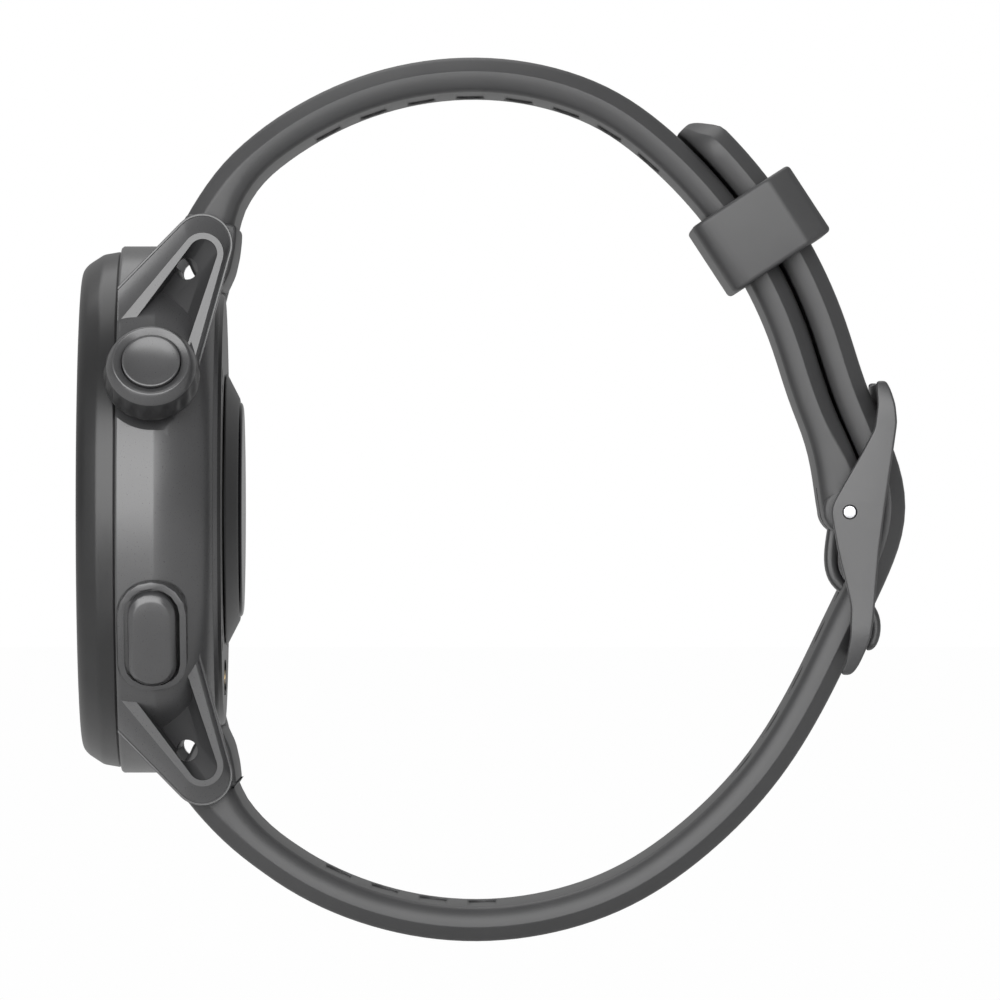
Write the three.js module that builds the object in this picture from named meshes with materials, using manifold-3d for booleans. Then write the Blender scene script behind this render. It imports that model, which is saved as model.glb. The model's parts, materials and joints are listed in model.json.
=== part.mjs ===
// A round running watch, buckled: hollow-lugged case, crown, side button, silicone strap, buckle and keeper.
// Millimetres. The case axis is Y: the screen faces -Y and the wrist side faces +Y. +Z is 12 o'clock and +X is
// 3 o'clock. The origin is the centre of the sensor glass, where the watch meets the wrist.
import * as THREE from "three";
import { mergeVertices } from "three/addons/utils/BufferGeometryUtils.js";
import Module from "manifold-3d";

const wasm = await Module();
wasm.setup();

// Clearances
const seatGap = 0.05;
const runGap = 0.1;
const slackGap = 0.3;
const overrun = 2;

// Case
const caseRadius = 21;
const bodyThickness = 11.33;
const sensorHeight = 1.5;
const bezelHeight = 2.88;
const seamGroove = 0.25;
const bandWidth = 3;
const bandEdge = 0.3;
const caseWall = 3.8;
const rearRimInset = 3.3;
const rearRimDrop = 0.6;
const rearWaistInset = 1.1;
const rearWaistDepth = 1.4;
const frontSeatInset = 2.65;
const frontSeatDepth = 1.05;
const lipWidth = 1.8;
const lipThickness = 0.75;
const coverThickness = 1.25;
const coverGap = 0.06;

// Lugs, drawn in the plane of a side view
const strapWidth = 22;
const lugTipDepth = 3;
const lugTipInset = 0.8;
const lugRimRadius = 1.68;
const lugRimWidth = 0.58;
const lugRootRadius = 2.4;
const lugRootShiftY = -0.05;
const lugRootShiftZ = 0.75;
const lugFrontAngle = 50.6;
const lugRootFrontAngle = 46;
const lugRearAngle = 74.9;
const lugRimStandout = 1.65;
const lugFaceDepthSlope = 0.16;
const lugFaceHeightSlope = 0.1;
const lugFrontInset = 0.05;
const lugRimFrontFoot = 6.6;
const lugRimRearFoot = 8.4;
const lugRootFrontFoot = 6.5;
const lugRootRearFoot = 7.2;
const pocketWeb = 0.8;
const pocketFloorShiftY = -0.95;
const pocketFloorShiftZ = -1.25;
const pocketFloorRadius = 0.86;
const pocketFoot = 7.4;
const pocketSlope = 0.16;
const reliefHoleRadius = 0.85;
const reliefHoleShiftY = -1.25;
const reliefHoleShiftZ = -1.2;
const barHoleRadius = 0.48;
const barHoleDepth = 0.75;

// Bay between the lugs: how far each step of its wall lies inside the case's edge
const bayFrontY = -6.5;
const bayFrontInset = 0.6;
const bayMiddleY = -5.1;
const bayMiddleInset = 2;
const bayFloorY = -4.3;
const bayFloorInset = 2.7;
const bayStepY = -3.9;
const bayStepInset = 2.9;
const bayRearY = -3.05;
const bayRearInset = 3.95;

// Front
const bezelFaceInset = 2.1;
const bezelBulgeInset = 0.8;
const bezelBulgeDepth = 1.23;
const bezelSideInset = 0.6;
const bezelSideDepth = 2.23;
const bezelFootInset = 0.45;
const bezelGroove = 0.12;
const bezelFaceWidth = 0.95;
const bezelSlope = 0.3;
const glassSeat = 0.25;
const glassRecess = 0.23;
const glassThickness = 0.95;
const glassChamfer = 0.2;
const gasketThickness = 0.25;
const gasketWidth = 0.85;
const ledgeThickness = 0.5;
const panelInset = 5.1;
const panelThickness = 1.15;
const antennaWidth = 0.95;
const antennaThickness = 0.4;
const frameGap = 0.35;
const frameFloor = 0.55;
const frameSkirt = 0.85;
const frameDepth = 1.45;

// Inside
const boardInset = 6.2;
const boardThickness = 0.8;
const boardGap = 0.35;
const canLength = 14;
const canWidth = 9;
const canHeight = 1.1;
const batteryLength = 18;
const batteryWidth = 16.4;
const batteryThickness = 2.9;
const batteryCorner = 1.4;
const batteryShiftX = -1;
const motorRadius = 2.8;
const motorHeight = 2.7;
const motorInset = 7.8;

// Rear
const coverEdge = 0.35;
const coverHoleRadius = 9.95;
const coverGrooveInset = 1.1;
const coverGrooveWidth = 0.65;
const coverGrooveDepth = 0.4;
const sensorFlange = 0.85;
const sensorShoulder = 0.3;
const sensorWindowRadius = 8.6;
const sensorWindowThickness = 1.25;
const sensorWindowEdge = 0.25;
const sensorRimStep = 0.3;
const sensorLedge = 0.6;
const sensorRimWidth = 0.2;
const sensorNeckGap = 0.15;
const sensorNeckDepth = 1.75;
const sensorBoardInset = 0.4;
const sensorBoardThickness = 0.5;
const screwCircleInset = 6.6;
const screwHeadRadius = 1;
const screwHeadHeight = 0.5;
const screwHeadSink = 0.12;
const screwShankRadius = 0.62;
const screwLength = 2.4;
const screwSocketDepth = 0.2;
const screwBossRadius = 1.9;
const screwBossLength = 2.3;
const contactBlockLength = 8.2;
const contactBlockWidth = 2.6;
const contactBlockDepth = 1.7;
const contactBlockSink = 0.15;
const contactInset = 7.6;
const contactPitch = 1.9;
const contactRadius = 0.55;
const contactProud = 0.1;

// Crown, at 2 o'clock
const crownAngle = 28.4;
const controlY = -6.84;
const crownSeatRadius = 4.05;
const crownSeatInset = 0.65;
const crownStandoff = 0.2;
const crownHeight = 3.3;
const crownBaseRadius = 3.45;
const crownKnurlRadius = 3.78;
const crownKnurlStart = 0.35;
const crownKnurlEnd = 1.75;
const crownShoulderRadius = 3.5;
const crownShoulderStart = 2.5;
const crownFaceRadius = 3.02;
const crownFlute = 0.18;
const crownRimWidth = 0.36;
const crownGrooveDepth = 0.6;
const crownCapRadius = 2.22;
const crownCapHeight = 1.2;
const crownCapDome = 0.18;
const crownCapPocket = 1.1;
const stemRadius = 0.8;
const stemInset = 1.65;
const stemGrooveRadius = 0.56;
const stemGrooveWidth = 0.6;
const crownRingInset = 2.5;
const tubeRadius = 1.4;
const tubeProud = 0.2;
const washerRadius = 1.8;
const washerThickness = 0.2;
const clipRadius = 1.35;
const clipThickness = 0.2;
const clipProud = 0.5;
const encoderProud = 2.2;
const encoderHeight = 1.5;
const encoderLength = 3.8;
const encoderWidth = 2.8;
const stemReach = 1.6;

// Button, at 4 o'clock
const buttonAngle = -28.9;
const surroundLength = 9.8;
const surroundWidth = 5.36;
const surroundWall = 0.5;
const surroundSeatInset = 1.45;
const surroundHeight = 1.95;
const surroundProud = 0.3;
const surroundEdge = 0.22;
const buttonGap = 0.26;
const buttonHeight = 1.7;
const buttonProud = 0.5;
const buttonEdge = 0.42;
const springWellRadius = 1.4;
const springWellRoof = 0.85;
const plungerRadius = 0.6;
const plungerRoof = 0.35;
const plungerGrooveRadius = 0.42;
const plungerRingInset = 2.8;
const springRadius = 1.02;
const springWire = 0.13;
const springTurns = 3.5;

// Strap paths, in polar form about one centre near the wrist's middle, which goes with the case's size
const strapCentreShareY = 0.4319;
const strapCentreShareZ = 0.0581;
const innerArcShare = 1.7476;
const strapThickness = 2.75;
const strapLayGap = 0.3;
const strapRootThickness = 3.72;
const strapRootLength = 8.5;
const strapTipNarrowing = 2;
const strapTaperStart = 10;
const strapTaperLength = 40;
const strapShoulder = 1.06;
const strapShoulderIn = 1.1;
const strapEdgeRise = 1.15;
const strapEdgeIn = 0.75;
const strapSideRound = 0.12;
const strapOverlap = 0.35;
const strapStep = 3.4;
const arcStep = 6;
const strapEyeRadius = 1.9;
const strapEyeShiftY = -0.15;
const strapEyeShiftZ = 0.1;
const strapPinBlend = 8;
const tipLength = 4;
const holePitch = 4.15;
const holeLength = 2.2;
const holeWidth = 3.8;
const holeCount = 12;
const holesBeforeTongue = 4;
const ventWidth = 15;
const ventDepth = 0.4;
const ventCount = 8;
const ventStart = 13;
const lowerVentCount = 4;

// Strap end block between the lugs: y, and how far each corner stands outside the lug's tip centre
const blockFrontY = -5.4;
const blockFrontRise = 1.25;
const blockChinY = -5.3;
const blockChinRise = 0.45;
const blockThroatY = -4.2;
const blockThroatRise = -0.65;
const blockHeelY = -3.75;
const blockHeelRise = -1.7;
const blockLipY = -2.75;
const blockLipRise = -2.78;
const blockLipTipY = -1.5;
const blockBellyY = -0.6;
const blockBellyRise = 0.1;
const blockCrestY = -0.38;
const blockCrestRise = 2.3;

// Spring bars: their ends go with the strap's width
const barRadius = 0.72;
const barBoreRadius = 0.5;
const barBoreStart = 0.4;
const barEndInset = 0.5;
const barTipRadius = 0.38;
const barTipReach = 0.8;
const releaseRadius = 0.4;
const releaseShoulderInset = 1.1;
const leverInset = 4.1;
const leverRadius = 0.42;
const leverReach = 1.75;
const releaseTail = 1.5;
const releaseTravel = 1.1;
const barSpringRadius = 0.3;
const barSpringWire = 0.08;
const barSpringTurns = 5;

// Buckle, measured from its pin
const pinAngle = -2.07;
const pinShare = 1.0621;
const pinRadius = 0.54;
const armReach = 10.25;
const frameSideGap = 0.35;
const armThickness = 1.65;
const armEdge = 0.2;
const lowerBarLength = 2.1;
const lowerBarThickness = 0.66;
const lowerBarY = 0.98;
const lowerBarZ = -10.7;
const lowerBarAngle = 65;
const knuckleRadius = 1.25;
const tongueWidth = 2.4;
const tongueThickness = 1.1;
const forkSlotWidth = 3.2;
const forkSlotTop = 1.9;

// Keeper
const keeperAngle = 33.2;
const keeperLength = 6.2;
const keeperSideGap = 0.4;
const keeperWall = 1.4;
const keeperLayGap = 0.29;
const keeperShoulderRise = 2.1;
const keeperShoulderIn = 1.3;
const keeperInnerEdge = 1.9;
const keeperEdge = 0.4;

// Facet counts
const caseFacets = 40;
const sensorFacets = 32;
const discFacets = 20;
const smallFacets = 10;
const curveSteps = 3;
const lugArcSteps = 5;
const arcSteps = 2;
const fluteCount = 18;
const fluteSteps = 3;
const ringSides = 6;
const socketSides = 6;
const coilSteps = 6;
const coilSides = 3;
const searchSteps = 400;
const mergeDistance = 0.0001;

// Shares of an outline, chosen by hand
const upperPathShares = [
  [119.4, 0.6561],
  [116.4, 0.678],
  [111, 0.731],
  [97.9, 0.813],
  [83.9, 0.893],
  [74.9, 0.938],
  [65.3, 0.977],
];
const upperEndShares = [
  [8.5, 1.016],
  [4.6, 1.036],
];
const lowerPathShares = [
  [-117.2, 0.6545],
  [-113.9, 0.6725],
  [-109.9, 0.703],
  [-105, 0.733],
  [-98.4, 0.7705],
  [-87.4, 0.828],
  [-74.8, 0.888],
  [-65.8, 0.923],
  [-56.25, 0.952],
  [-45.4, 0.968],
  [-33.9, 0.982],
  [-23.4, 0.991],
  [-15.7, 1.005],
  [-8.8, 1.035],
  [-1.93, 1.0655],
  [3, 1.05],
  [8, 1.018],
];
const armWristShares = [
  [0.208, 0.988],
  [0.216, 0.823],
  [0.192, 0.639],
  [0.094, 0.454],
  [-0.073, 0.162],
  [-0.117, 0.087],
  [-0.14, 0.023],
  [-0.137, -0.036],
  [-0.091, -0.292],
  [-0.014, -0.608],
  [0.012, -0.731],
  [0.006, -0.959],
  [-0.035, -1.192],
  [-0.081, -1.256],
];
const armOuterShares = [
  [0.022, -1.25],
  [0.066, -1.185],
  [0.115, -1.065],
  [0.153, -0.961],
  [0.174, -0.816],
  [0.204, -0.546],
  [0.23, -0.285],
  [0.27, 0.016],
  [0.318, 0.348],
  [0.366, 0.69],
  [0.352, 0.831],
  [0.315, 0.949],
  [0.28, 1.01],
];
const upperBarShares = [
  [0.222, 0.82],
  [0.21, 0.93],
  [0.208, 0.985],
  [0.28, 1.01],
  [0.315, 0.949],
  [0.352, 0.831],
  [0.345, 0.78],
  [0.28, 0.76],
];
const tonguePathShares = [
  [-0.085, -0.1],
  [-0.104, -0.28],
  [-0.113, -0.391],
  [-0.102, -0.478],
  [-0.045, -0.572],
  [0.06, -0.645],
  [0.155, -0.715],
  [0.215, -0.8],
  [0.233, -0.905],
  [0.213, -1.01],
  [0.165, -1.075],
];
const tongueWidthShares = [0.9, 1, 1, 1, 1, 1, 0.97, 0.92, 0.85, 0.72, 0.4];
const tongueCrossShares = [0.06, -0.645];
const upperArcAngles = [56, 12.5];
const lowerArcAngles = [13, 48.2];
const tipShares = [
  [0.25, 0.98, 1],
  [0.5, 0.92, 1],
  [0.75, 0.8, 0.88],
  [0.92, 0.6, 0.76],
  [1, 0.4, 0.6],
];
const contactShares = [-1.5, -0.5, 0.5, 1.5];

// Places worked out from the sizes
const rearPlane = -sensorHeight;
const frontPlane = rearPlane - bodyThickness;
const bezelBack = frontPlane + bezelHeight;
const caseFront = bezelBack + seamGroove;
const creaseY = caseFront + bandWidth;
const rearRimY = rearPlane - rearRimDrop;
const rearRimRadius = caseRadius - rearRimInset;
const coverSeatY = rearPlane - coverThickness - seatGap;
const coverRadius = rearRimRadius - bandEdge - coverGap;
const coverGrooveRadius = coverRadius - coverGrooveInset;
const sensorBaseRadius = coverHoleRadius + sensorFlange;
const sensorTopRadius = sensorWindowRadius + seatGap + sensorRimWidth;
const sensorBore = sensorWindowRadius - sensorLedge;
const sensorNeckRadius = coverHoleRadius - sensorNeckGap;
const sensorBoardRadius = sensorNeckRadius - sensorBoardInset;
const lipY = coverSeatY - lipThickness;
const frontSeatY = caseFront + frontSeatDepth;
const frontSeatRadius = caseRadius - frontSeatInset;
const cavityRadius = caseRadius - caseWall;
const lipRadius = cavityRadius - lipWidth;
const lugInnerX = strapWidth / 2 + runGap + seatGap;
const lugRimX = lugInnerX + lugRimStandout;
const lugTipHeight = caseRadius - lugTipInset;
const bezelFaceRadius = caseRadius - bezelFaceInset;
const bezelInnerRadius = bezelFaceRadius - bezelFaceWidth;
const glassRadius = bezelInnerRadius - bezelSlope - glassSeat;
const glassFront = frontPlane + glassRecess;
const glassBack = glassFront + glassThickness;
const ledgeFront = glassBack + gasketThickness + seatGap;
const ledgeBack = ledgeFront + ledgeThickness;
const panelRadius = caseRadius - panelInset;
const panelBack = glassBack + seatGap + panelThickness;
const frameFront = panelBack + seatGap;
const frameRadius = cavityRadius - frameGap;
const boardRadius = caseRadius - boardInset;
const boardFront = frameFront + frameFloor + boardGap;
const boardBack = boardFront + boardThickness;
const batteryFront = boardBack + canHeight + seatGap;
const motorZ = motorInset - caseRadius;
const contactZ = contactInset - caseRadius;
const screwCircleRadius = caseRadius - screwCircleInset;
const encoderTop = cavityRadius - encoderProud;
const clipHeight = cavityRadius - clipProud;
const stemEnd = cavityRadius - stemReach;
const tubeInnerEnd = cavityRadius - tubeProud;
const crownBase = caseRadius + crownStandoff;
const crownSeatHeight = caseRadius - crownSeatInset;
const crownTop = crownBase + crownHeight;
const crownRingHeight = crownSeatHeight - crownRingInset;
const surroundBottom = caseRadius - surroundSeatInset;
const surroundTop = surroundBottom + surroundHeight;
const buttonLength = surroundLength - 2 * (surroundWall + buttonGap);
const buttonWidth = surroundWidth - 2 * (surroundWall + buttonGap);
const buttonTop = surroundTop + buttonProud;
const buttonBottom = buttonTop - buttonHeight;
const springWellTop = buttonTop - springWellRoof;
const plungerTop = buttonTop - plungerRoof;
const plungerRingHeight = caseRadius - plungerRingInset;
const strapCentreY = strapCentreShareY * caseRadius;
const strapCentreZ = strapCentreShareZ * caseRadius;
const innerArcRadius = innerArcShare * caseRadius;
const outerArcRadius = innerArcRadius + strapThickness + strapLayGap;
const strapTipWidth = strapWidth - strapTipNarrowing;
const frameInnerWidth = strapTipWidth + 2 * frameSideGap;
const pinEndX = frameInnerWidth / 2 + armThickness;
const pinY = strapCentreY + pinShare * innerArcRadius * Math.cos(THREE.MathUtils.degToRad(pinAngle));
const pinZ = strapCentreZ + pinShare * innerArcRadius * Math.sin(THREE.MathUtils.degToRad(pinAngle));
const barEndX = strapWidth / 2 - barEndInset;
const barTipX = strapWidth / 2 + barTipReach;
const leverX = strapWidth / 2 - leverInset;
const releaseShoulder = strapWidth / 2 - releaseShoulderInset;
const releaseStart = leverX - releaseTail;
const keeperInner = innerArcRadius - strapThickness / 2 - keeperLayGap;
const keeperOuter = outerArcRadius + strapThickness / 2 + keeperLayGap;
const keeperWidth = strapTipWidth + 2 * (keeperSideGap + keeperWall);

const degrees = THREE.MathUtils.degToRad;
const mix = THREE.MathUtils.lerp;
const axisX = new THREE.Vector3(1, 0, 0);
const axisY = new THREE.Vector3(0, 1, 0);
const axisZ = new THREE.Vector3(0, 0, 1);

// Solids: a closed geometry becomes a solid whose faces point out, whichever way its frame turned it.
function solid(geometry, matrix) {
  const bare = (geometry.index ? geometry.toNonIndexed() : geometry).clone();
  for (const name of Object.keys(bare.attributes)) {
    if (name !== "position") {
      bare.deleteAttribute(name);
    }
  }
  if (matrix) {
    bare.applyMatrix4(matrix);
  }
  const merged = mergeVertices(bare, mergeDistance);
  const corners = merged.index.array;
  const kept = [];
  for (let i = 0; i < corners.length; i += 3) {
    const [a, b, c] = [corners[i], corners[i + 1], corners[i + 2]];
    if (a !== b && b !== c && c !== a) {
      kept.push(a, b, c);
    }
  }
  const triVerts = new Uint32Array(kept);
  const vertProperties = new Float32Array(merged.attributes.position.array);
  const made = new wasm.Manifold(new wasm.Mesh({ numProp: 3, vertProperties, triVerts }));
  if (made.volume() > 0) {
    return made;
  }
  for (let i = 0; i < triVerts.length; i += 3) {
    [triVerts[i], triVerts[i + 1]] = [triVerts[i + 1], triVerts[i]];
  }
  return new wasm.Manifold(new wasm.Mesh({ numProp: 3, vertProperties, triVerts }));
}

function cut(base, ...tools) {
  return tools.reduce((left, tool) => left.subtract(tool), base);
}

function join(first, ...others) {
  return others.reduce((sum, other) => sum.add(other), first);
}

// A mesh of a solid, in the colour and finish of its material.
function piece(name, shape, material) {
  const { vertProperties, triVerts } = shape.getMesh();
  const geometry = new THREE.BufferGeometry();
  geometry.setAttribute("position", new THREE.BufferAttribute(vertProperties, 3));
  geometry.setIndex(new THREE.BufferAttribute(triVerts, 1));
  const faceted = geometry.toNonIndexed();
  faceted.computeVertexNormals();
  const mesh = new THREE.Mesh(faceted, material);
  mesh.name = name;
  return mesh;
}

function finish(color, roughness, metalness = 0) {
  return new THREE.MeshStandardMaterial({ color, roughness, metalness });
}

// A revolve about Y. A profile that doesn't touch the axis closes on itself.
function turned(profile, facets = discFacets) {
  const points = profile.map(([radius, height]) => new THREE.Vector2(radius, height));
  if (profile[0][0] > 0) {
    points.push(points[0].clone());
  }
  return solid(new THREE.LatheGeometry(points, facets));
}

function disc(radius, low, high, facets = discFacets) {
  return turned([[0, low], [radius, low], [radius, high], [0, high]], facets);
}

function ring(inner, outer, low, high, facets = discFacets) {
  return turned([[inner, low], [outer, low], [outer, high], [inner, high]], facets);
}

// An outline in the side view, (y, z), pushed from one x to another.
const sideView = new THREE.Matrix4().makeBasis(axisY, axisZ, axisX);
function prism(outline, fromX, toX, edge = 0) {
  const shape = new THREE.Shape(outline.map(([y, z]) => new THREE.Vector2(y, z)));
  const options = { depth: toX - fromX - 2 * edge, bevelEnabled: edge > 0 };
  if (edge > 0) {
    Object.assign(options, { bevelSize: edge, bevelThickness: edge, bevelSegments: 1, bevelOffset: -edge });
  }
  const geometry = new THREE.ExtrudeGeometry(shape, options).translate(0, 0, fromX + edge);
  return solid(geometry, sideView);
}

function cylinderX(radius, y, z, fromX, toX, facets = smallFacets) {
  return disc(radius, fromX, toX, facets).rotate([0, 0, -90]).translate([0, y, z]);
}

function block(lengthX, fromY, toY, lengthZ) {
  return solid(new THREE.BoxGeometry(lengthX, toY - fromY, lengthZ).translate(0, (fromY + toY) / 2, 0));
}

// A stadium or a rounded rectangle in the plane across Y, pushed along Y.
const acrossY = new THREE.Matrix4().makeBasis(axisX, axisZ.clone().negate(), axisY);
function rounded(length, width, corner, fromY, toY, edge = 0) {
  const x = length / 2;
  const z = width / 2;
  const shape = new THREE.Shape();
  shape.moveTo(x - corner, -z);
  shape.absarc(x - corner, corner - z, corner, -Math.PI / 2, 0);
  shape.absarc(x - corner, z - corner, corner, 0, Math.PI / 2);
  shape.absarc(corner - x, z - corner, corner, Math.PI / 2, Math.PI);
  shape.absarc(corner - x, corner - z, corner, Math.PI, (Math.PI * 3) / 2);
  const options = { depth: toY - fromY - 2 * edge, bevelEnabled: edge > 0, curveSegments: arcSteps };
  if (edge > 0) {
    Object.assign(options, { bevelSize: edge, bevelThickness: edge, bevelSegments: 1, bevelOffset: -edge });
  }
  const geometry = new THREE.ExtrudeGeometry(shape, options).translate(0, 0, fromY + edge);
  return solid(geometry, acrossY);
}

// A skin over rings of points, closed by a fan at each end.
function loft(rings) {
  const count = rings[0].length;
  const centre = (points) =>
    points.reduce((sum, point) => sum.add(point), new THREE.Vector3()).divideScalar(points.length);
  const points = [...rings.flat(), centre(rings[0]), centre(rings.at(-1))];
  const index = [];
  for (let j = 0; j < count; j++) {
    const next = (j + 1) % count;
    for (let i = 0; i + 1 < rings.length; i++) {
      const a = i * count;
      const b = a + count;
      index.push(a + j, a + next, b + next, a + j, b + next, b + j);
    }
    const last = (rings.length - 1) * count;
    index.push(points.length - 2, next, j);
    index.push(points.length - 1, last + j, last + next);
  }
  const geometry = new THREE.BufferGeometry().setFromPoints(points);
  geometry.setIndex(index);
  return solid(geometry);
}

// Points on a quadratic curve between two profile points.
function swell(start, control, end, steps = curveSteps) {
  const curve = new THREE.QuadraticBezierCurve(
    new THREE.Vector2(...start),
    new THREE.Vector2(...control),
    new THREE.Vector2(...end),
  );
  return curve.getPoints(steps).map(({ x, y }) => [x, y]);
}

// A wire wound about an axis along Y.
function coil(radius, wire, turns, fromY, toY) {
  const rings = [];
  const low = fromY + wire;
  const climb = toY - fromY - 2 * wire;
  for (let i = 0; i <= turns * coilSteps; i++) {
    const share = i / (turns * coilSteps);
    const turn = share * turns * 2 * Math.PI;
    const across = new THREE.Vector3(Math.cos(turn), 0, Math.sin(turn));
    const middle = across.clone().multiplyScalar(radius).setY(low + climb * share);
    rings.push(
      Array.from({ length: coilSides }, (_, j) => {
        const around = (j / coilSides) * 2 * Math.PI;
        return middle
          .clone()
          .addScaledVector(across, wire * Math.cos(around))
          .addScaledVector(axisY, wire * Math.sin(around));
      }),
    );
  }
  return loft(rings);
}

function mirrored(shape) {
  return shape.mirror([0, 0, 1]);
}

function placedBy(shape, group) {
  group.updateMatrixWorld(true);
  return shape.transform(group.matrixWorld.toArray());
}

// Finishes
const casePolymer = finish(0x4d4d4e, 0.5);
const bezelPolymer = finish(0x2f2f31, 0.42);
const glass = finish(0x08090b, 0.08);
const silicone = finish(0x4a4a4b, 0.62);
const steel = finish(0xc9cacc, 0.25, 1);
const darkSteel = finish(0x6f7073, 0.35, 0.9);
const softSeal = finish(0x1c1c1d, 0.8);
const circuit = finish(0x174a2c, 0.6);
const cellWrap = finish(0x30343c, 0.55);
const brass = finish(0xcaa34a, 0.3, 1);
const sensorPolymer = finish(0x202022, 0.35);
const screenGlow = finish(0x101114, 0.2);

// Frames of the parts that lie along a radius of the case: local Y runs outwards, local X round the case.
function radialGroup(angle) {
  const group = new THREE.Group();
  const outward = new THREE.Vector3(Math.cos(degrees(angle)), 0, Math.sin(degrees(angle)));
  const along = new THREE.Vector3(-outward.z, 0, outward.x);
  group.quaternion.setFromRotationMatrix(new THREE.Matrix4().makeBasis(along, outward, axisY));
  group.position.set(0, controlY, 0);
  return group;
}

const watch = new THREE.Group();
const caseGroup = new THREE.Group();
const crownGroup = radialGroup(crownAngle);
const buttonGroup = radialGroup(buttonAngle);
const strapGroup = new THREE.Group();
const buckleGroup = new THREE.Group();
buckleGroup.position.set(0, pinY, pinZ);
const keeperGroup = new THREE.Group();
keeperGroup.position.set(0, strapCentreY, strapCentreZ);
keeperGroup.rotation.x = degrees(keeperAngle);
watch.add(caseGroup, crownGroup, buttonGroup, strapGroup, buckleGroup, keeperGroup);

// The outline of a lug in the side view. Its two legs run down from the round tip into the case wall.
function lugOutline(radius, frontFoot, rearFoot, frontAngle = lugFrontAngle, shiftY = 0, shiftZ = 0) {
  const front = degrees(frontAngle);
  const rear = degrees(lugRearAngle);
  const tip = [-lugTipDepth + shiftY, lugTipHeight + shiftZ];
  const frontY = caseFront + lugFrontInset;
  const from = front + Math.PI / 2;
  const to = rear - Math.PI / 2;
  const arc = Array.from({ length: lugArcSteps + 1 }, (_, i) => {
    const angle = mix(from, to, i / lugArcSteps);
    return [tip[0] + radius * Math.cos(angle), tip[1] + radius * Math.sin(angle)];
  });
  const first = arc[0];
  const last = arc.at(-1);
  const frontTop = first[1] - (first[0] - frontY) * Math.tan(front);
  const rearY = last[0] - (last[1] - rearFoot) / Math.tan(rear);
  return [[frontY, frontFoot], [frontY, frontTop], ...arc, [rearY, rearFoot]];
}

function lugFace(y, z) {
  return lugRimX - lugFaceDepthSlope * (y + lugTipDepth) - lugFaceHeightSlope * (z - lugTipHeight);
}

function pocketFace(y, z) {
  return lugInnerX + pocketWeb + pocketSlope * (lugTipHeight - z);
}

function outlineAt(outline, xOf) {
  return outline.map(([y, z]) => new THREE.Vector3(xOf(y, z), y, z));
}

// One hollow lug: a boss with a sloped flank, scooped out behind its bright rim.
function lug() {
  const root = lugOutline(
    lugRootRadius,
    lugRootFrontFoot,
    lugRootRearFoot,
    lugRootFrontAngle,
    lugRootShiftY,
    lugRootShiftZ,
  );
  const rim = lugOutline(lugRimRadius, lugRimFrontFoot, lugRimRearFoot);
  const boss = loft([outlineAt(root, () => lugInnerX), outlineAt(rim, lugFace)]);
  const mouthRadius = lugRimRadius - lugRimWidth;
  const mouth = lugOutline(mouthRadius, pocketFoot, pocketFoot);
  const floor = lugOutline(
    pocketFloorRadius,
    pocketFoot,
    pocketFoot,
    lugFrontAngle,
    pocketFloorShiftY,
    pocketFloorShiftZ,
  );
  const inset = (outline) => outline.map(([y, z]) => [Math.max(y, caseFront + lugFrontInset + lugRimWidth), z]);
  const scoop = loft([
    outlineAt(inset(floor), pocketFace),
    outlineAt(inset(mouth), lugFace),
    outlineAt(inset(mouth), (y, z) => lugFace(y, z) + overrun),
  ]);
  return cut(boss, scoop);
}

// The bay between two lugs, where the strap's end sits.
function strapBay() {
  return prism(
    [
      [bayFrontY, caseRadius + overrun],
      [bayFrontY, caseRadius - bayFrontInset],
      [bayMiddleY, caseRadius - bayMiddleInset],
      [bayFloorY, caseRadius - bayFloorInset],
      [bayStepY, caseRadius - bayStepInset],
      [bayRearY, caseRadius - bayRearInset],
      [0, caseRadius - bayRearInset],
      [0, caseRadius + overrun],
    ],
    -lugInnerX,
    lugInnerX,
  );
}

function screwPlaces() {
  const share = Math.SQRT1_2 * screwCircleRadius;
  return [
    [share, share],
    [-share, share],
    [-share, -share],
    [share, -share],
  ];
}

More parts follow.
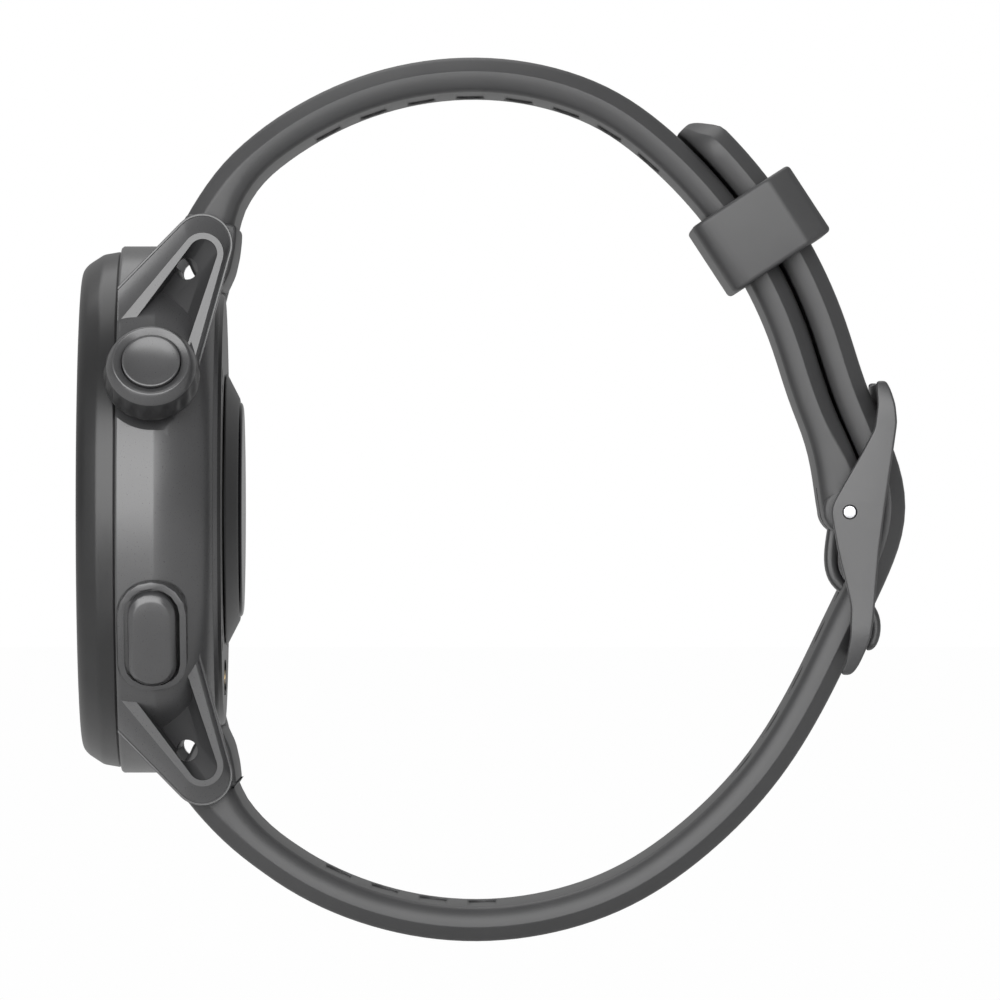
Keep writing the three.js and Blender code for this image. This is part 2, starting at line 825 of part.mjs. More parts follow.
function makeMidCase() {
  const wall = turned(
    [
      [0, caseFront],
      [caseRadius - bandEdge, caseFront],
      [caseRadius, caseFront + bandEdge],
      ...swell(
        [caseRadius, creaseY],
        [caseRadius - rearWaistInset, rearPlane - rearWaistDepth],
        [rearRimRadius, rearRimY],
      ),
      [0, rearRimY],
    ],
    caseFacets,
  );
  const hollow = turned(
    [
      [0, caseFront - overrun],
      [frontSeatRadius, caseFront - overrun],
      [frontSeatRadius, frontSeatY],
      [cavityRadius, frontSeatY],
      [cavityRadius, lipY],
      [lipRadius, lipY],
      [lipRadius, coverSeatY],
      [coverRadius + runGap + seatGap, coverSeatY],
      [coverRadius + runGap + seatGap, rearRimY + overrun],
      [0, rearRimY + overrun],
    ],
    caseFacets,
  );
  const upperLugs = join(lug(), lug().mirror([1, 0, 0]));
  let body = cut(join(wall, upperLugs, mirrored(upperLugs)), hollow);
  for (const [x, z] of screwPlaces()) {
    const boss = disc(screwBossRadius, coverSeatY - screwBossLength, coverSeatY, smallFacets).translate([x, 0, z]);
    const bore = disc(screwShankRadius + runGap, coverSeatY - screwBossLength, coverSeatY + overrun, smallFacets);
    body = cut(join(body, boss), bore.translate([x, 0, z]));
  }
  body = cut(body, strapBay(), mirrored(strapBay()));
  for (const side of [-1, 1]) {
    const holeEnd = side * (lugInnerX + barHoleDepth);
    const [fromX, toX] = [side * (lugInnerX - overrun), holeEnd].sort((a, b) => a - b);
    const barHole = cylinderX(barHoleRadius, -lugTipDepth, lugTipHeight, fromX, toX);
    const reach = side * (lugRimX + overrun);
    const [lowX, highX] = [side * (lugInnerX - overrun), reach].sort((a, b) => a - b);
    const reliefY = -lugTipDepth + reliefHoleShiftY;
    const reliefZ = lugTipHeight + reliefHoleShiftZ;
    const relief = cylinderX(reliefHoleRadius, reliefY, reliefZ, lowX, highX);
    body = cut(body, barHole, relief, mirrored(barHole), mirrored(relief));
  }
  const crownSeat = disc(crownSeatRadius, crownSeatHeight, caseRadius + overrun);
  const crownBore = disc(tubeRadius + seatGap, cavityRadius - overrun, caseRadius, smallFacets);
  const buttonSeat = rounded(
    surroundLength + 2 * runGap,
    surroundWidth + 2 * runGap,
    surroundWidth / 2 + runGap,
    surroundBottom - seatGap,
    caseRadius + overrun,
  );
  const buttonBore = disc(plungerRadius + runGap, cavityRadius - overrun, caseRadius, smallFacets);
  return cut(
    body,
    placedBy(crownSeat, crownGroup),
    placedBy(crownBore, crownGroup),
    placedBy(buttonSeat, buttonGroup),
    placedBy(buttonBore, buttonGroup),
  );
}

function makeBezel() {
  const spigotBack = frontSeatY - runGap;
  const bezelFootRadius = caseRadius - bezelFootInset;
  return turned(
    [
      [bezelInnerRadius, frontPlane],
      ...swell(
        [bezelFaceRadius, frontPlane],
        [caseRadius - bezelBulgeInset, frontPlane + bezelBulgeDepth],
        [caseRadius - bezelSideInset, frontPlane + bezelSideDepth],
      ),
      [bezelFootRadius, bezelBack],
      [bezelFootRadius - bezelGroove, bezelBack],
      [bezelFootRadius - bezelGroove, caseFront - seatGap],
      [frontSeatRadius - runGap, caseFront - seatGap],
      [frontSeatRadius - runGap, spigotBack],
      [cavityRadius, spigotBack],
      [cavityRadius, ledgeBack],
      [glassRadius - gasketWidth, ledgeBack],
      [glassRadius - gasketWidth, ledgeFront],
      [glassRadius + seatGap, ledgeFront],
      [glassRadius + seatGap, glassFront],
      [bezelInnerRadius - bezelSlope, glassFront - seatGap],
    ],
    caseFacets,
  );
}

function makeFront() {
  const frontGlass = turned(
    [
      [0, glassFront],
      [glassRadius - glassChamfer, glassFront],
      [glassRadius, glassFront + glassChamfer],
      [glassRadius, glassBack],
      [0, glassBack],
    ],
    caseFacets,
  );
  const gasket = ring(
    glassRadius - gasketWidth + runGap,
    glassRadius - seatGap,
    glassBack + seatGap / 2,
    ledgeFront - seatGap / 2,
  );
  const panel = disc(panelRadius, glassBack + seatGap, panelBack);
  const antennaOuter = panelRadius + 2 * runGap + antennaWidth;
  const antenna = ring(
    antennaOuter - antennaWidth,
    antennaOuter,
    ledgeBack + seatGap,
    ledgeBack + seatGap + antennaThickness,
  );
  const carrierFront = Math.max(frameFront, ledgeBack + 2 * seatGap + antennaThickness);
  const carrier = turned(
    [
      [0, carrierFront],
      [frameRadius, carrierFront],
      [frameRadius, carrierFront + frameDepth],
      [frameRadius - frameSkirt, carrierFront + frameDepth],
      [frameRadius - frameSkirt, carrierFront + frameFloor],
      [0, carrierFront + frameFloor],
    ],
  );
  return [
    piece("front_glass", frontGlass, glass),
    piece("glass_gasket", gasket, softSeal),
    piece("display_panel", panel, screenGlow),
    piece("antenna_ring", antenna, brass),
    piece("display_frame", carrier, bezelPolymer),
  ];
}

function makeInside() {
  const board = disc(boardRadius, boardFront, boardBack);
  const can = rounded(canLength, canWidth, batteryCorner, boardBack + seatGap, boardBack + canHeight);
  const batteryShape = rounded(
    batteryLength,
    batteryWidth,
    batteryCorner,
    batteryFront + seatGap,
    batteryFront + seatGap + batteryThickness,
  );
  const motor = disc(motorRadius, boardBack + seatGap, boardBack + seatGap + motorHeight);
  return [
    piece("main_board", board, circuit),
    piece("shield_can", can, steel),
    piece("battery", batteryShape.translate([batteryShiftX, 0, 0]), cellWrap),
    piece("vibration_motor", motor.translate([0, 0, motorZ]), darkSteel),
  ];
}

function contactBlock(gap) {
  const corner = contactBlockWidth / 2 + gap;
  return rounded(
    contactBlockLength + 2 * gap,
    contactBlockWidth + 2 * gap,
    corner,
    rearPlane - contactBlockSink - contactBlockDepth - (gap > 0 ? overrun : 0),
    rearPlane - contactBlockSink + (gap > 0 ? overrun : 0),
  ).translate([0, 0, contactZ]);
}

function makeRear() {
  const coverBottom = coverSeatY + seatGap;
  let cover = turned(
    [
      [coverHoleRadius, coverBottom],
      [coverGrooveRadius, coverBottom],
      [coverGrooveRadius, coverBottom + coverGrooveDepth],
      [coverGrooveRadius + coverGrooveWidth, coverBottom + coverGrooveDepth],
      [coverGrooveRadius + coverGrooveWidth, coverBottom],
      [coverRadius, coverBottom],
      [coverRadius, rearPlane - coverEdge],
      [coverRadius - coverEdge, rearPlane],
      [coverHoleRadius, rearPlane],
    ],
    caseFacets,
  );
  cover = cut(cover, contactBlock(runGap));
  const screws = screwPlaces().map(([x, z], i) => {
    const headTop = rearPlane - screwHeadSink;
    const headBottom = headTop - screwHeadHeight;
    const recess = disc(screwHeadRadius + runGap, headBottom - seatGap, rearPlane + overrun, smallFacets);
    const passage = disc(screwShankRadius + runGap, coverSeatY - overrun, rearPlane + overrun, smallFacets);
    cover = cut(cover, recess.translate([x, 0, z]), passage.translate([x, 0, z]));
    const body = turned(
      [
        [0, headTop - screwLength - screwHeadHeight],
        [screwShankRadius, headTop - screwLength - screwHeadHeight],
        [screwShankRadius, headBottom],
        [screwHeadRadius, headBottom],
        [screwHeadRadius, headTop],
        [0, headTop],
      ],
      smallFacets,
    );
    const socket = disc(screwHeadRadius / 2, headTop - screwSocketDepth, headTop + overrun, socketSides);
    return piece(`rear_screw_${i + 1}`, cut(body, socket).translate([x, 0, z]), darkSteel);
  });
  const gasket = ring(
    coverGrooveRadius + seatGap,
    coverGrooveRadius + coverGrooveWidth - seatGap,
    coverSeatY + seatGap / 2,
    coverBottom + coverGrooveDepth - seatGap,
    caseFacets,
  );
  const windowBottom = -sensorWindowThickness;
  const flangeBottom = rearPlane + seatGap;
  const housing = turned([
    [sensorBaseRadius, flangeBottom],
    [sensorBaseRadius, flangeBottom + sensorShoulder / 2],
    [sensorTopRadius + sensorShoulder, -sensorRimStep - sensorShoulder / 2],
    [sensorTopRadius, -sensorRimStep],
    [sensorWindowRadius + seatGap, -sensorRimStep],
    [sensorWindowRadius + seatGap, windowBottom - seatGap],
    [sensorBore, windowBottom - seatGap],
    [sensorBore, -sensorNeckDepth],
    [sensorNeckRadius, -sensorNeckDepth],
    [sensorNeckRadius, flangeBottom],
  ], sensorFacets);
  const window = turned(
    [
      [0, windowBottom],
      [sensorWindowRadius, windowBottom],
      [sensorWindowRadius, -sensorWindowEdge],
      [sensorWindowRadius - sensorWindowEdge, 0],
      [0, 0],
    ],
    sensorFacets,
  );
  const sensorBoardTop = -sensorNeckDepth - seatGap;
  const sensorBoard = disc(sensorBoardRadius, sensorBoardTop - sensorBoardThickness, sensorBoardTop);
  let contacts = contactBlock(0);
  const pins = contactShares.map((share, i) => {
    const x = share * contactPitch;
    const top = rearPlane - contactBlockSink;
    const bore = disc(contactRadius + seatGap, top - contactBlockDepth - overrun, top + overrun, smallFacets);
    contacts = cut(contacts, bore.translate([x, 0, contactZ]));
    const pin = disc(contactRadius, top - contactBlockDepth, top + contactProud, smallFacets);
    return piece(`contact_pin_${i + 1}`, pin.translate([x, 0, contactZ]), brass);
  });
  return [
    piece("rear_cover", cover, bezelPolymer),
    piece("rear_gasket", gasket, softSeal),
    ...screws,
    piece("sensor_housing", housing, sensorPolymer),
    piece("sensor_window", window, glass),
    piece("sensor_board", sensorBoard, circuit),
    piece("contact_block", contacts, sensorPolymer),
    ...pins,
  ];
}

// A shaft along local Y with a groove for its O-ring and one for its clip.
function groovedShaft(radius, grooveRadius, low, high, ringAt) {
  const half = stemGrooveWidth / 2;
  return turned(
    [
      [0, low],
      [radius, low],
      [radius, clipHeight - seatGap],
      [grooveRadius, clipHeight - seatGap],
      [grooveRadius, clipHeight + clipThickness + seatGap],
      [radius, clipHeight + clipThickness + seatGap],
      [radius, ringAt - half],
      [grooveRadius, ringAt - half],
      [grooveRadius, ringAt + half],
      [radius, ringAt + half],
      [radius, high],
      [0, high],
    ],
    smallFacets,
  );
}

// A C-shaped clip that snaps into a shaft's groove.
function clip(grooveRadius) {
  const whole = ring(grooveRadius + seatGap, clipRadius, clipHeight, clipHeight + clipThickness, smallFacets);
  const mouth = block(grooveRadius * 2, clipHeight - overrun, clipHeight + overrun, clipRadius);
  return cut(whole, mouth.translate([0, 0, clipRadius / 2 + seatGap]));
}

function sealRing(grooveRadius, boreRadius, at) {
  const inner = grooveRadius + seatGap / 2;
  const outer = boreRadius - seatGap / 2;
  const wire = (outer - inner) / 2;
  return turned(
    Array.from({ length: ringSides }, (_, i) => {
      const turn = (i / ringSides) * 2 * Math.PI;
      return [inner + wire + wire * Math.cos(turn), at + wire * Math.sin(turn)];
    }),
    smallFacets,
  );
}

// The crown's fluted side is a skin over rings whose radius dips once for every flute.
function crownKnob() {
  const around = fluteCount * fluteSteps;
  const levels = [
    [0, crownBaseRadius, 0],
    [crownKnurlStart, crownKnurlRadius, crownFlute],
    [(crownKnurlStart + crownKnurlEnd) / 2, crownKnurlRadius, crownFlute],
    [crownKnurlEnd, crownKnurlRadius - seatGap, crownFlute],
    [crownShoulderStart, crownShoulderRadius, 0],
    [crownHeight - seatGap, crownFaceRadius + seatGap, 0],
    [crownHeight, crownFaceRadius, 0],
  ];
  const rings = levels.map(([height, radius, flute]) =>
    Array.from({ length: around }, (_, i) => {
      const turn = (i / around) * 2 * Math.PI;
      const dip = (i % fluteSteps) / fluteSteps;
      const reach = radius - flute * (0.5 - 0.5 * Math.cos(dip * 2 * Math.PI));
      return new THREE.Vector3(reach * Math.cos(turn), crownBase + height, reach * Math.sin(turn));
    }),
  );
  const groove = disc(crownFaceRadius - crownRimWidth, crownTop - crownGrooveDepth, crownTop + overrun);
  const capPocket = disc(crownCapRadius + runGap, crownTop - crownCapPocket, crownTop + overrun);
  const stemBore = disc(stemRadius + runGap, crownBase - overrun, crownTop - stemInset, smallFacets);
  return cut(loft(rings), groove, capPocket, stemBore);
}

function makeCrown() {
  const capBottom = crownTop - crownCapPocket + seatGap;
  const cap = turned([
    [0, capBottom],
    [crownCapRadius, capBottom],
    [crownCapRadius, capBottom + crownCapHeight - crownCapDome],
    [crownCapRadius - crownCapDome, capBottom + crownCapHeight],
    [0, capBottom + crownCapHeight],
  ]);
  const stem = groovedShaft(stemRadius, stemGrooveRadius, stemEnd, crownTop - stemInset - seatGap, crownRingHeight);
  const tube = ring(stemRadius + runGap, tubeRadius, tubeInnerEnd, crownSeatHeight - seatGap, smallFacets);
  const washerTop = crownBase - seatGap;
  const washer = ring(stemRadius + runGap, washerRadius, washerTop - washerThickness, washerTop, smallFacets);
  const encoder = block(encoderLength, encoderTop - encoderHeight, encoderTop, encoderWidth);
  return [
    piece("crown_knob", crownKnob(), casePolymer),
    piece("crown_cap", cap, casePolymer),
    piece("crown_stem", stem, steel),
    piece("crown_o_ring", sealRing(stemGrooveRadius, stemRadius + runGap, crownRingHeight), softSeal),
    piece("crown_washer", washer, steel),
    piece("crown_clip", clip(stemGrooveRadius), steel),
    piece("crown_tube", tube, steel),
    piece("crown_encoder", encoder, sensorPolymer),
  ];
}

function stadium(length, width, fromY, toY, edge = 0) {
  return rounded(length, width, width / 2, fromY, toY, edge);
}

function makeButton() {
  const opening = stadium(
    surroundLength - 2 * surroundWall,
    surroundWidth - 2 * surroundWall,
    surroundBottom - overrun,
    surroundTop + overrun,
  );
  const blank = stadium(surroundLength, surroundWidth, surroundBottom, surroundTop, surroundEdge);
  const half = surroundWidth / 2;
  const curve = disc(caseRadius + surroundProud, -half, half, caseFacets).rotate([90, 0, 0]);
  const surround = cut(blank.intersect(curve), opening);
  const well = disc(springWellRadius, buttonBottom - overrun, springWellTop);
  const socket = disc(plungerRadius + seatGap, buttonBottom - overrun, plungerTop + seatGap, smallFacets);
  const cap = cut(stadium(buttonLength, buttonWidth, buttonBottom, buttonTop, buttonEdge), well, socket);
  const plunger = groovedShaft(plungerRadius, plungerGrooveRadius, stemEnd, plungerTop, plungerRingHeight);
  const spring = coil(springRadius, springWire, springTurns, surroundBottom + seatGap, springWellTop - seatGap);
  const contact = block(encoderLength, encoderTop - encoderHeight, encoderTop, encoderWidth);
  return [
    piece("button_surround", surround, casePolymer),
    piece("button_cap", cap, casePolymer),
    piece("button_plunger", plunger, steel),
    piece("button_o_ring", sealRing(plungerGrooveRadius, plungerRadius + runGap, plungerRingHeight), softSeal),
    piece("button_spring", spring, steel),
    piece("button_clip", clip(plungerGrooveRadius), steel),
    piece("button_switch", contact, sensorPolymer),
  ];
}

// Strap paths
function polar(angle, radius) {
  return new THREE.Vector3(
    0,
    strapCentreY + radius * Math.cos(degrees(angle)),
    strapCentreZ + radius * Math.sin(degrees(angle)),
  );
}

function arcPoints(radius, fromAngle, toAngle, step) {
  const count = Math.round(Math.abs(toAngle - fromAngle) / step);
  return Array.from({ length: count + 1 }, (_, i) => polar(mix(fromAngle, toAngle, i / count), radius));
}

const upperPath = new THREE.CatmullRomCurve3([
  ...upperPathShares.map(([angle, share]) => polar(angle, share * innerArcRadius)),
  ...arcPoints(innerArcRadius, upperArcAngles[0], upperArcAngles[1], arcStep),
  ...upperEndShares.map(([angle, share]) => polar(angle, share * innerArcRadius)),
  new THREE.Vector3(0, pinY + strapEyeShiftY, pinZ + strapEyeShiftZ),
]);
const lowerPath = new THREE.CatmullRomCurve3([
  ...lowerPathShares.map(([angle, share]) => polar(angle, share * outerArcRadius)),
  ...arcPoints(outerArcRadius, lowerArcAngles[0], lowerArcAngles[1], arcStep),
]);

function strapHalfWidth(distance) {
  const share = THREE.MathUtils.smoothstep(distance, strapTaperStart, strapTaperStart + strapTaperLength);
  return mix(strapWidth, strapTipWidth, share) / 2;
}

function rootThickness(distance) {
  return mix(strapRootThickness, strapThickness, THREE.MathUtils.smoothstep(distance, 0, strapRootLength));
}

// One cross-section: a shouldered outer face, flat sides and a softened inner face.
function strapSection(at, outward, halfWidth, thickness, shoulderShare = 1) {
  const half = thickness / 2;
  const shoulder = Math.min(strapShoulder, half) * shoulderShare;
  const shoulderIn = Math.min(strapShoulderIn, halfWidth / 2) * shoulderShare;
  const edgeIn = Math.min(strapEdgeIn, halfWidth / 2);
  const edgeRise = Math.min(strapEdgeRise, half);
  const side = [
    [halfWidth - shoulderIn, half],
    [halfWidth - strapSideRound, half - shoulder],
    [halfWidth, half - shoulder - strapSideRound],
    [halfWidth, edgeRise - half],
    [halfWidth - edgeIn, -half],
  ];
  const other = side.map(([x, n]) => [-x, n]).reverse();
  return [...side, ...other].map(([x, n]) => at.clone().addScaledVector(outward, n).setX(x));
}

function stationOf(path, distance) {
  const share = Math.min(distance / path.getLength(), 1);
  const at = path.getPointAt(share);
  const along = path.getTangentAt(share);
  return { at, along };
}

function outwardOf(along, side) {
  return new THREE.Vector3(0, -along.z, along.y).multiplyScalar(side);
}

function distancesTo(length) {
  const count = Math.round(length / strapStep);
  return Array.from({ length: count + 1 }, (_, i) => (i / count) * length);
}

// A slot through the strap, or a vent cut part of the way in from its inner face.
function strapSlot(path, side, distance, width, fromDepth, toDepth) {
  const { at, along } = stationOf(path, distance);
  const outward = outwardOf(along, side);
  const basis = new THREE.Matrix4().makeBasis(axisX, outward, new THREE.Vector3().crossVectors(axisX, outward));
  basis.setPosition(at);
  return stadium(width, holeLength, fromDepth, toDepth).transform(basis.toArray());
}

// The end block that fills the bay between the lugs, drawn for 12 o'clock.
function endBlock(rootOuter, rootInner) {
  return prism(
    [
      [rootOuter.y, rootOuter.z],
      [blockFrontY, lugTipHeight + blockFrontRise],
      [blockChinY, lugTipHeight + blockChinRise],
      [blockThroatY, lugTipHeight + blockThroatRise],
      [blockHeelY, lugTipHeight + blockHeelRise],
      [blockLipY, lugTipHeight + blockLipRise],
      [blockLipTipY, lugTipHeight + blockLipRise],
      [blockBellyY, lugTipHeight + blockBellyRise],
      [blockCrestY, lugTipHeight + blockCrestRise],
      [rootInner.y, rootInner.z],
    ],
    -strapWidth / 2,
    strapWidth / 2,
  );
}

function rootEdges(path, side) {
  const { at, along } = stationOf(path, strapOverlap);
  const outward = outwardOf(along, side).multiplyScalar(strapRootThickness / 2);
  const outer = at.clone().add(outward);
  const inner = at.clone().sub(outward);
  outer.z = Math.abs(outer.z);
  inner.z = Math.abs(inner.z);
  return endBlock(outer, inner);
}

// The bore for the spring bar and the slot for its release lever.
function barRoom() {
  const bore = cylinderX(barRadius + runGap, -lugTipDepth, lugTipHeight, -strapWidth, strapWidth);
  const slotLength = releaseTravel + 2 * leverRadius + 2 * slackGap;
  const slot = block(slotLength, -lugTipDepth, overrun, 2 * leverRadius + 2 * runGap);
  return join(bore, slot.translate([leverX - releaseTravel / 2, 0, lugTipHeight]));
}

function makeUpperStrap() {
  const length = upperPath.getLength();
  const bodyLength = length - strapOverlap;
  const rings = distancesTo(bodyLength).map((distance) => {
    const { at, along } = stationOf(upperPath, distance);
    const blend = THREE.MathUtils.smoothstep(distance, bodyLength - strapPinBlend, bodyLength);
    const thickness = mix(rootThickness(distance), 2 * strapEyeRadius, blend);
    return strapSection(at, outwardOf(along, 1), strapHalfWidth(distance), thickness, 1 - blend / 2);
  });
  const half = strapTipWidth / 2;
  const eye = cylinderX(strapEyeRadius, pinY + strapEyeShiftY, pinZ + strapEyeShiftZ, -half, half, discFacets);
  const reach = strapEyeRadius + overrun;
  const fork = block(forkSlotWidth, -reach, reach, 2 * reach);
  const forkZ = pinZ + forkSlotTop - reach;
  const vents = Array.from({ length: ventCount }, (_, i) => {
    const distance = ventStart + i * holePitch;
    const inner = -rootThickness(distance) / 2;
    return strapSlot(upperPath, 1, distance, ventWidth, inner - overrun, inner + ventDepth);
  });
  return cut(
    join(loft(rings), rootEdges(upperPath, 1), eye),
    barRoom(),
    cylinderX(pinRadius + runGap, pinY, pinZ, -strapWidth, strapWidth),
    fork.translate([0, pinY, forkZ]),
    ...vents,
  );
}

// The distance along the lower strap at which the tongue passes through it.
function tongueDistance() {
  const target = new THREE.Vector3(0, pinY + tongueCrossShares[0] * armReach, pinZ + tongueCrossShares[1] * armReach);
  const length = lowerPath.getLength();
  let best = 0;
  for (let i = 0; i <= searchSteps; i++) {
    const here = stationOf(lowerPath, (i / searchSteps) * length).at.distanceTo(target);
    if (here < stationOf(lowerPath, best).at.distanceTo(target)) {
      best = (i / searchSteps) * length;
    }
  }
  return best;
}

function makeLowerStrap() {
  const length = lowerPath.getLength();
  const stations = [
    ...distancesTo(length - tipLength).map((distance) => [distance, 1, 1]),
    ...tipShares.map(([share, width, thickness]) => [length - tipLength + share * tipLength, width, thickness]),
  ];
  const rings = stations.map(([distance, widthShare, thicknessShare]) => {
    const { at, along } = stationOf(lowerPath, distance);
    const outward = outwardOf(along, -1);
    const thickness = rootThickness(distance) * thicknessShare;
    at.addScaledVector(outward, (thickness - rootThickness(distance)) / 2);
    return strapSection(at, outward, widthShare * strapHalfWidth(distance), thickness);
  });
  const first = tongueDistance() - holesBeforeTongue * holePitch;
  const holes = Array.from({ length: holeCount }, (_, i) => {
    const reach = strapThickness + overrun;
    return strapSlot(lowerPath, -1, first + i * holePitch, holeWidth, -reach, reach);
  });
  const vents = Array.from({ length: lowerVentCount }, (_, i) => {
    const distance = ventStart + i * holePitch;
    const inner = -rootThickness(distance) / 2;
    return strapSlot(lowerPath, -1, distance, ventWidth, inner - overrun, inner + ventDepth);
  });
  const lowerBlock = mirrored(rootEdges(lowerPath, -1));
  return cut(join(loft(rings), lowerBlock), mirrored(barRoom()), ...holes, ...vents);
}

// A quick-release spring bar: the tube carries the fixed tip, and the lever draws the other tip in.
function makeSpringBar(end) {
  const at = (shape) => {
    const upper = shape.rotate([0, 0, -90]).translate([0, -lugTipDepth, lugTipHeight]);
    return end === "12" ? upper : mirrored(upper);
  };
  const slotLength = releaseTravel + 2 * leverRadius + 2 * slackGap;
  const tubeShape = turned(
    [
      [0, -barTipX],
      [barTipRadius, -barTipX],
      [barTipRadius, -barEndX],
      [barRadius, -barEndX],
      [barRadius, barEndX],
      [barBoreRadius, barEndX],
      [barBoreRadius, barBoreStart],
      [0, barBoreStart],
    ],
    smallFacets,
  );
  const leverMiddle = leverX - releaseTravel / 2;
  const slot = solid(
    new THREE.BoxGeometry(2 * barRadius, slotLength, 2 * leverRadius + 2 * runGap).translate(
      -barRadius,
      leverMiddle,
      0,
    ),
  );
  const pinShape = turned(
    [
      [0, releaseStart],
      [releaseRadius, releaseStart],
      [releaseRadius, releaseShoulder],
      [barTipRadius, releaseShoulder],
      [barTipRadius, barTipX],
      [0, barTipX],
    ],
    smallFacets,
  );
  const lever = disc(leverRadius, 0, leverReach, smallFacets).rotate([0, 0, 90]).translate([0, leverX, 0]);
  const spring = coil(
    barSpringRadius,
    barSpringWire,
    barSpringTurns,
    barBoreStart + seatGap,
    releaseStart - seatGap,
  );
  return [
    piece(`spring_bar_${end}`, at(cut(tubeShape, slot)), steel),
    piece(`release_pin_${end}`, at(join(pinShape, lever)), steel),
    piece(`bar_spring_${end}`, at(spring), steel),
  ];
}

function sharesOf(shares) {
  return shares.map(([y, z]) => [y * armReach, z * armReach]);
}

function makeBuckleFrame() {
  const outline = sharesOf([...armWristShares, ...armOuterShares]);
  const inner = frameInnerWidth / 2;
  const arm = prism(outline, inner, pinEndX, armEdge);
  const upperBar = prism(sharesOf(upperBarShares), -inner - armEdge, inner + armEdge);
  const lowerBar = solid(new THREE.BoxGeometry(frameInnerWidth + 2 * armEdge, lowerBarLength, lowerBarThickness))
    .rotate([lowerBarAngle, 0, 0])
    .translate([0, lowerBarY, lowerBarZ]);
  const bore = cylinderX(pinRadius + seatGap, 0, 0, -pinEndX - overrun, pinEndX + overrun);
  return cut(join(arm, arm.mirror([1, 0, 0]), upperBar, lowerBar), bore);
}

function makeTongue() {
  const path = new THREE.CatmullRomCurve3(sharesOf(tonguePathShares).map(([y, z]) => new THREE.Vector3(0, y, z)));
  const count = tongueWidthShares.length - 1;
  const rings = tongueWidthShares.map((widthShare, i) => {
    const at = path.getPoint(i / count);
    const outward = outwardOf(path.getTangent(i / count), -1);
    const half = (tongueWidth / 2) * widthShare;
    const deep = (tongueThickness / 2) * Math.sqrt(widthShare);
    const corner = deep / 2;
    const side = [
      [half - corner, deep],
      [half, deep - corner],
      [half, corner - deep],
      [half - corner, -deep],
    ];
    const other = side.map(([x, n]) => [-x, n]).reverse();
    return [...side, ...other].map(([x, n]) => at.clone().addScaledVector(outward, n).setX(x));
  });
  const halfWidth = tongueWidth / 2;
  const knuckle = cylinderX(knuckleRadius, 0, 0, -halfWidth, halfWidth);
  const bore = cylinderX(pinRadius + seatGap, 0, 0, -tongueWidth, tongueWidth);
  return cut(join(loft(rings), knuckle), bore);
}

function makeBuckle() {
  return [
    piece("buckle_frame", makeBuckleFrame(), casePolymer),
    piece("buckle_pin", cylinderX(pinRadius, 0, 0, -pinEndX, pinEndX), steel),
    piece("buckle_tongue", makeTongue(), darkSteel),
  ];
}

// The keeper: a loop round both straps, with the strap's shoulders on its outer face.
function makeKeeper() {
  const half = keeperWidth / 2;
  const low = keeperInner - keeperWall;
  const high = keeperOuter + keeperWall;
  const cornerArc = Array.from({ length: lugArcSteps + 1 }, (_, i) => {
    const turn = (i / lugArcSteps) * (Math.PI / 2);
    const reach = keeperInnerEdge;
    return [half - reach + reach * Math.cos(turn), low + reach - reach * Math.sin(turn)];
  });
  const side = [[half - keeperShoulderIn, high], [half, high - keeperShoulderRise], ...cornerArc];
  const other = side.map(([x, y]) => [-x, y]).reverse();
  const shape = new THREE.Shape([...side, ...other].map(([x, y]) => new THREE.Vector2(x, y)));
  const innerHalf = half - keeperWall;
  const geometry = new THREE.ExtrudeGeometry(shape, {
    depth: keeperLength - 2 * keeperEdge,
    bevelSize: keeperEdge,
    bevelThickness: keeperEdge,
    bevelOffset: -keeperEdge,
    bevelSegments: 1,
  }).translate(0, 0, keeperEdge - keeperLength / 2);
  const opening = new THREE.BoxGeometry(2 * innerHalf, keeperOuter - keeperInner, keeperLength + overrun);
  opening.translate(0, (keeperOuter + keeperInner) / 2, 0);
  return piece("keeper", cut(solid(geometry), solid(opening)), silicone);
}

caseGroup.add(piece("mid_case", makeMidCase(), casePolymer), piece("bezel", makeBezel(), bezelPolymer));
caseGroup.add(...makeFront(), ...makeInside(), ...makeRear());
crownGroup.add(...makeCrown());
buttonGroup.add(...makeButton());
strapGroup.add(piece("strap_12", makeUpperStrap(), silicone), piece("strap_6", makeLowerStrap(), silicone));
strapGroup.add(...makeSpringBar("12"), ...makeSpringBar("6"));
buckleGroup.add(...makeBuckle());
keeperGroup.add(makeKeeper());

export default watch;
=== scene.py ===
# %% [markdown]
# A running watch with its strap buckled, seen from the crown side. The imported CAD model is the
# frame: every solid already has its size and place. This script gives the watch its surfaces,
# swaps the silicone and the turned parts for smoother ones, and adds floor, light and camera.

# %% Load the frame
import json
import math

import bmesh
import bpy
from mathutils import Matrix, Vector
from mathutils.geometry import interpolate_bezier


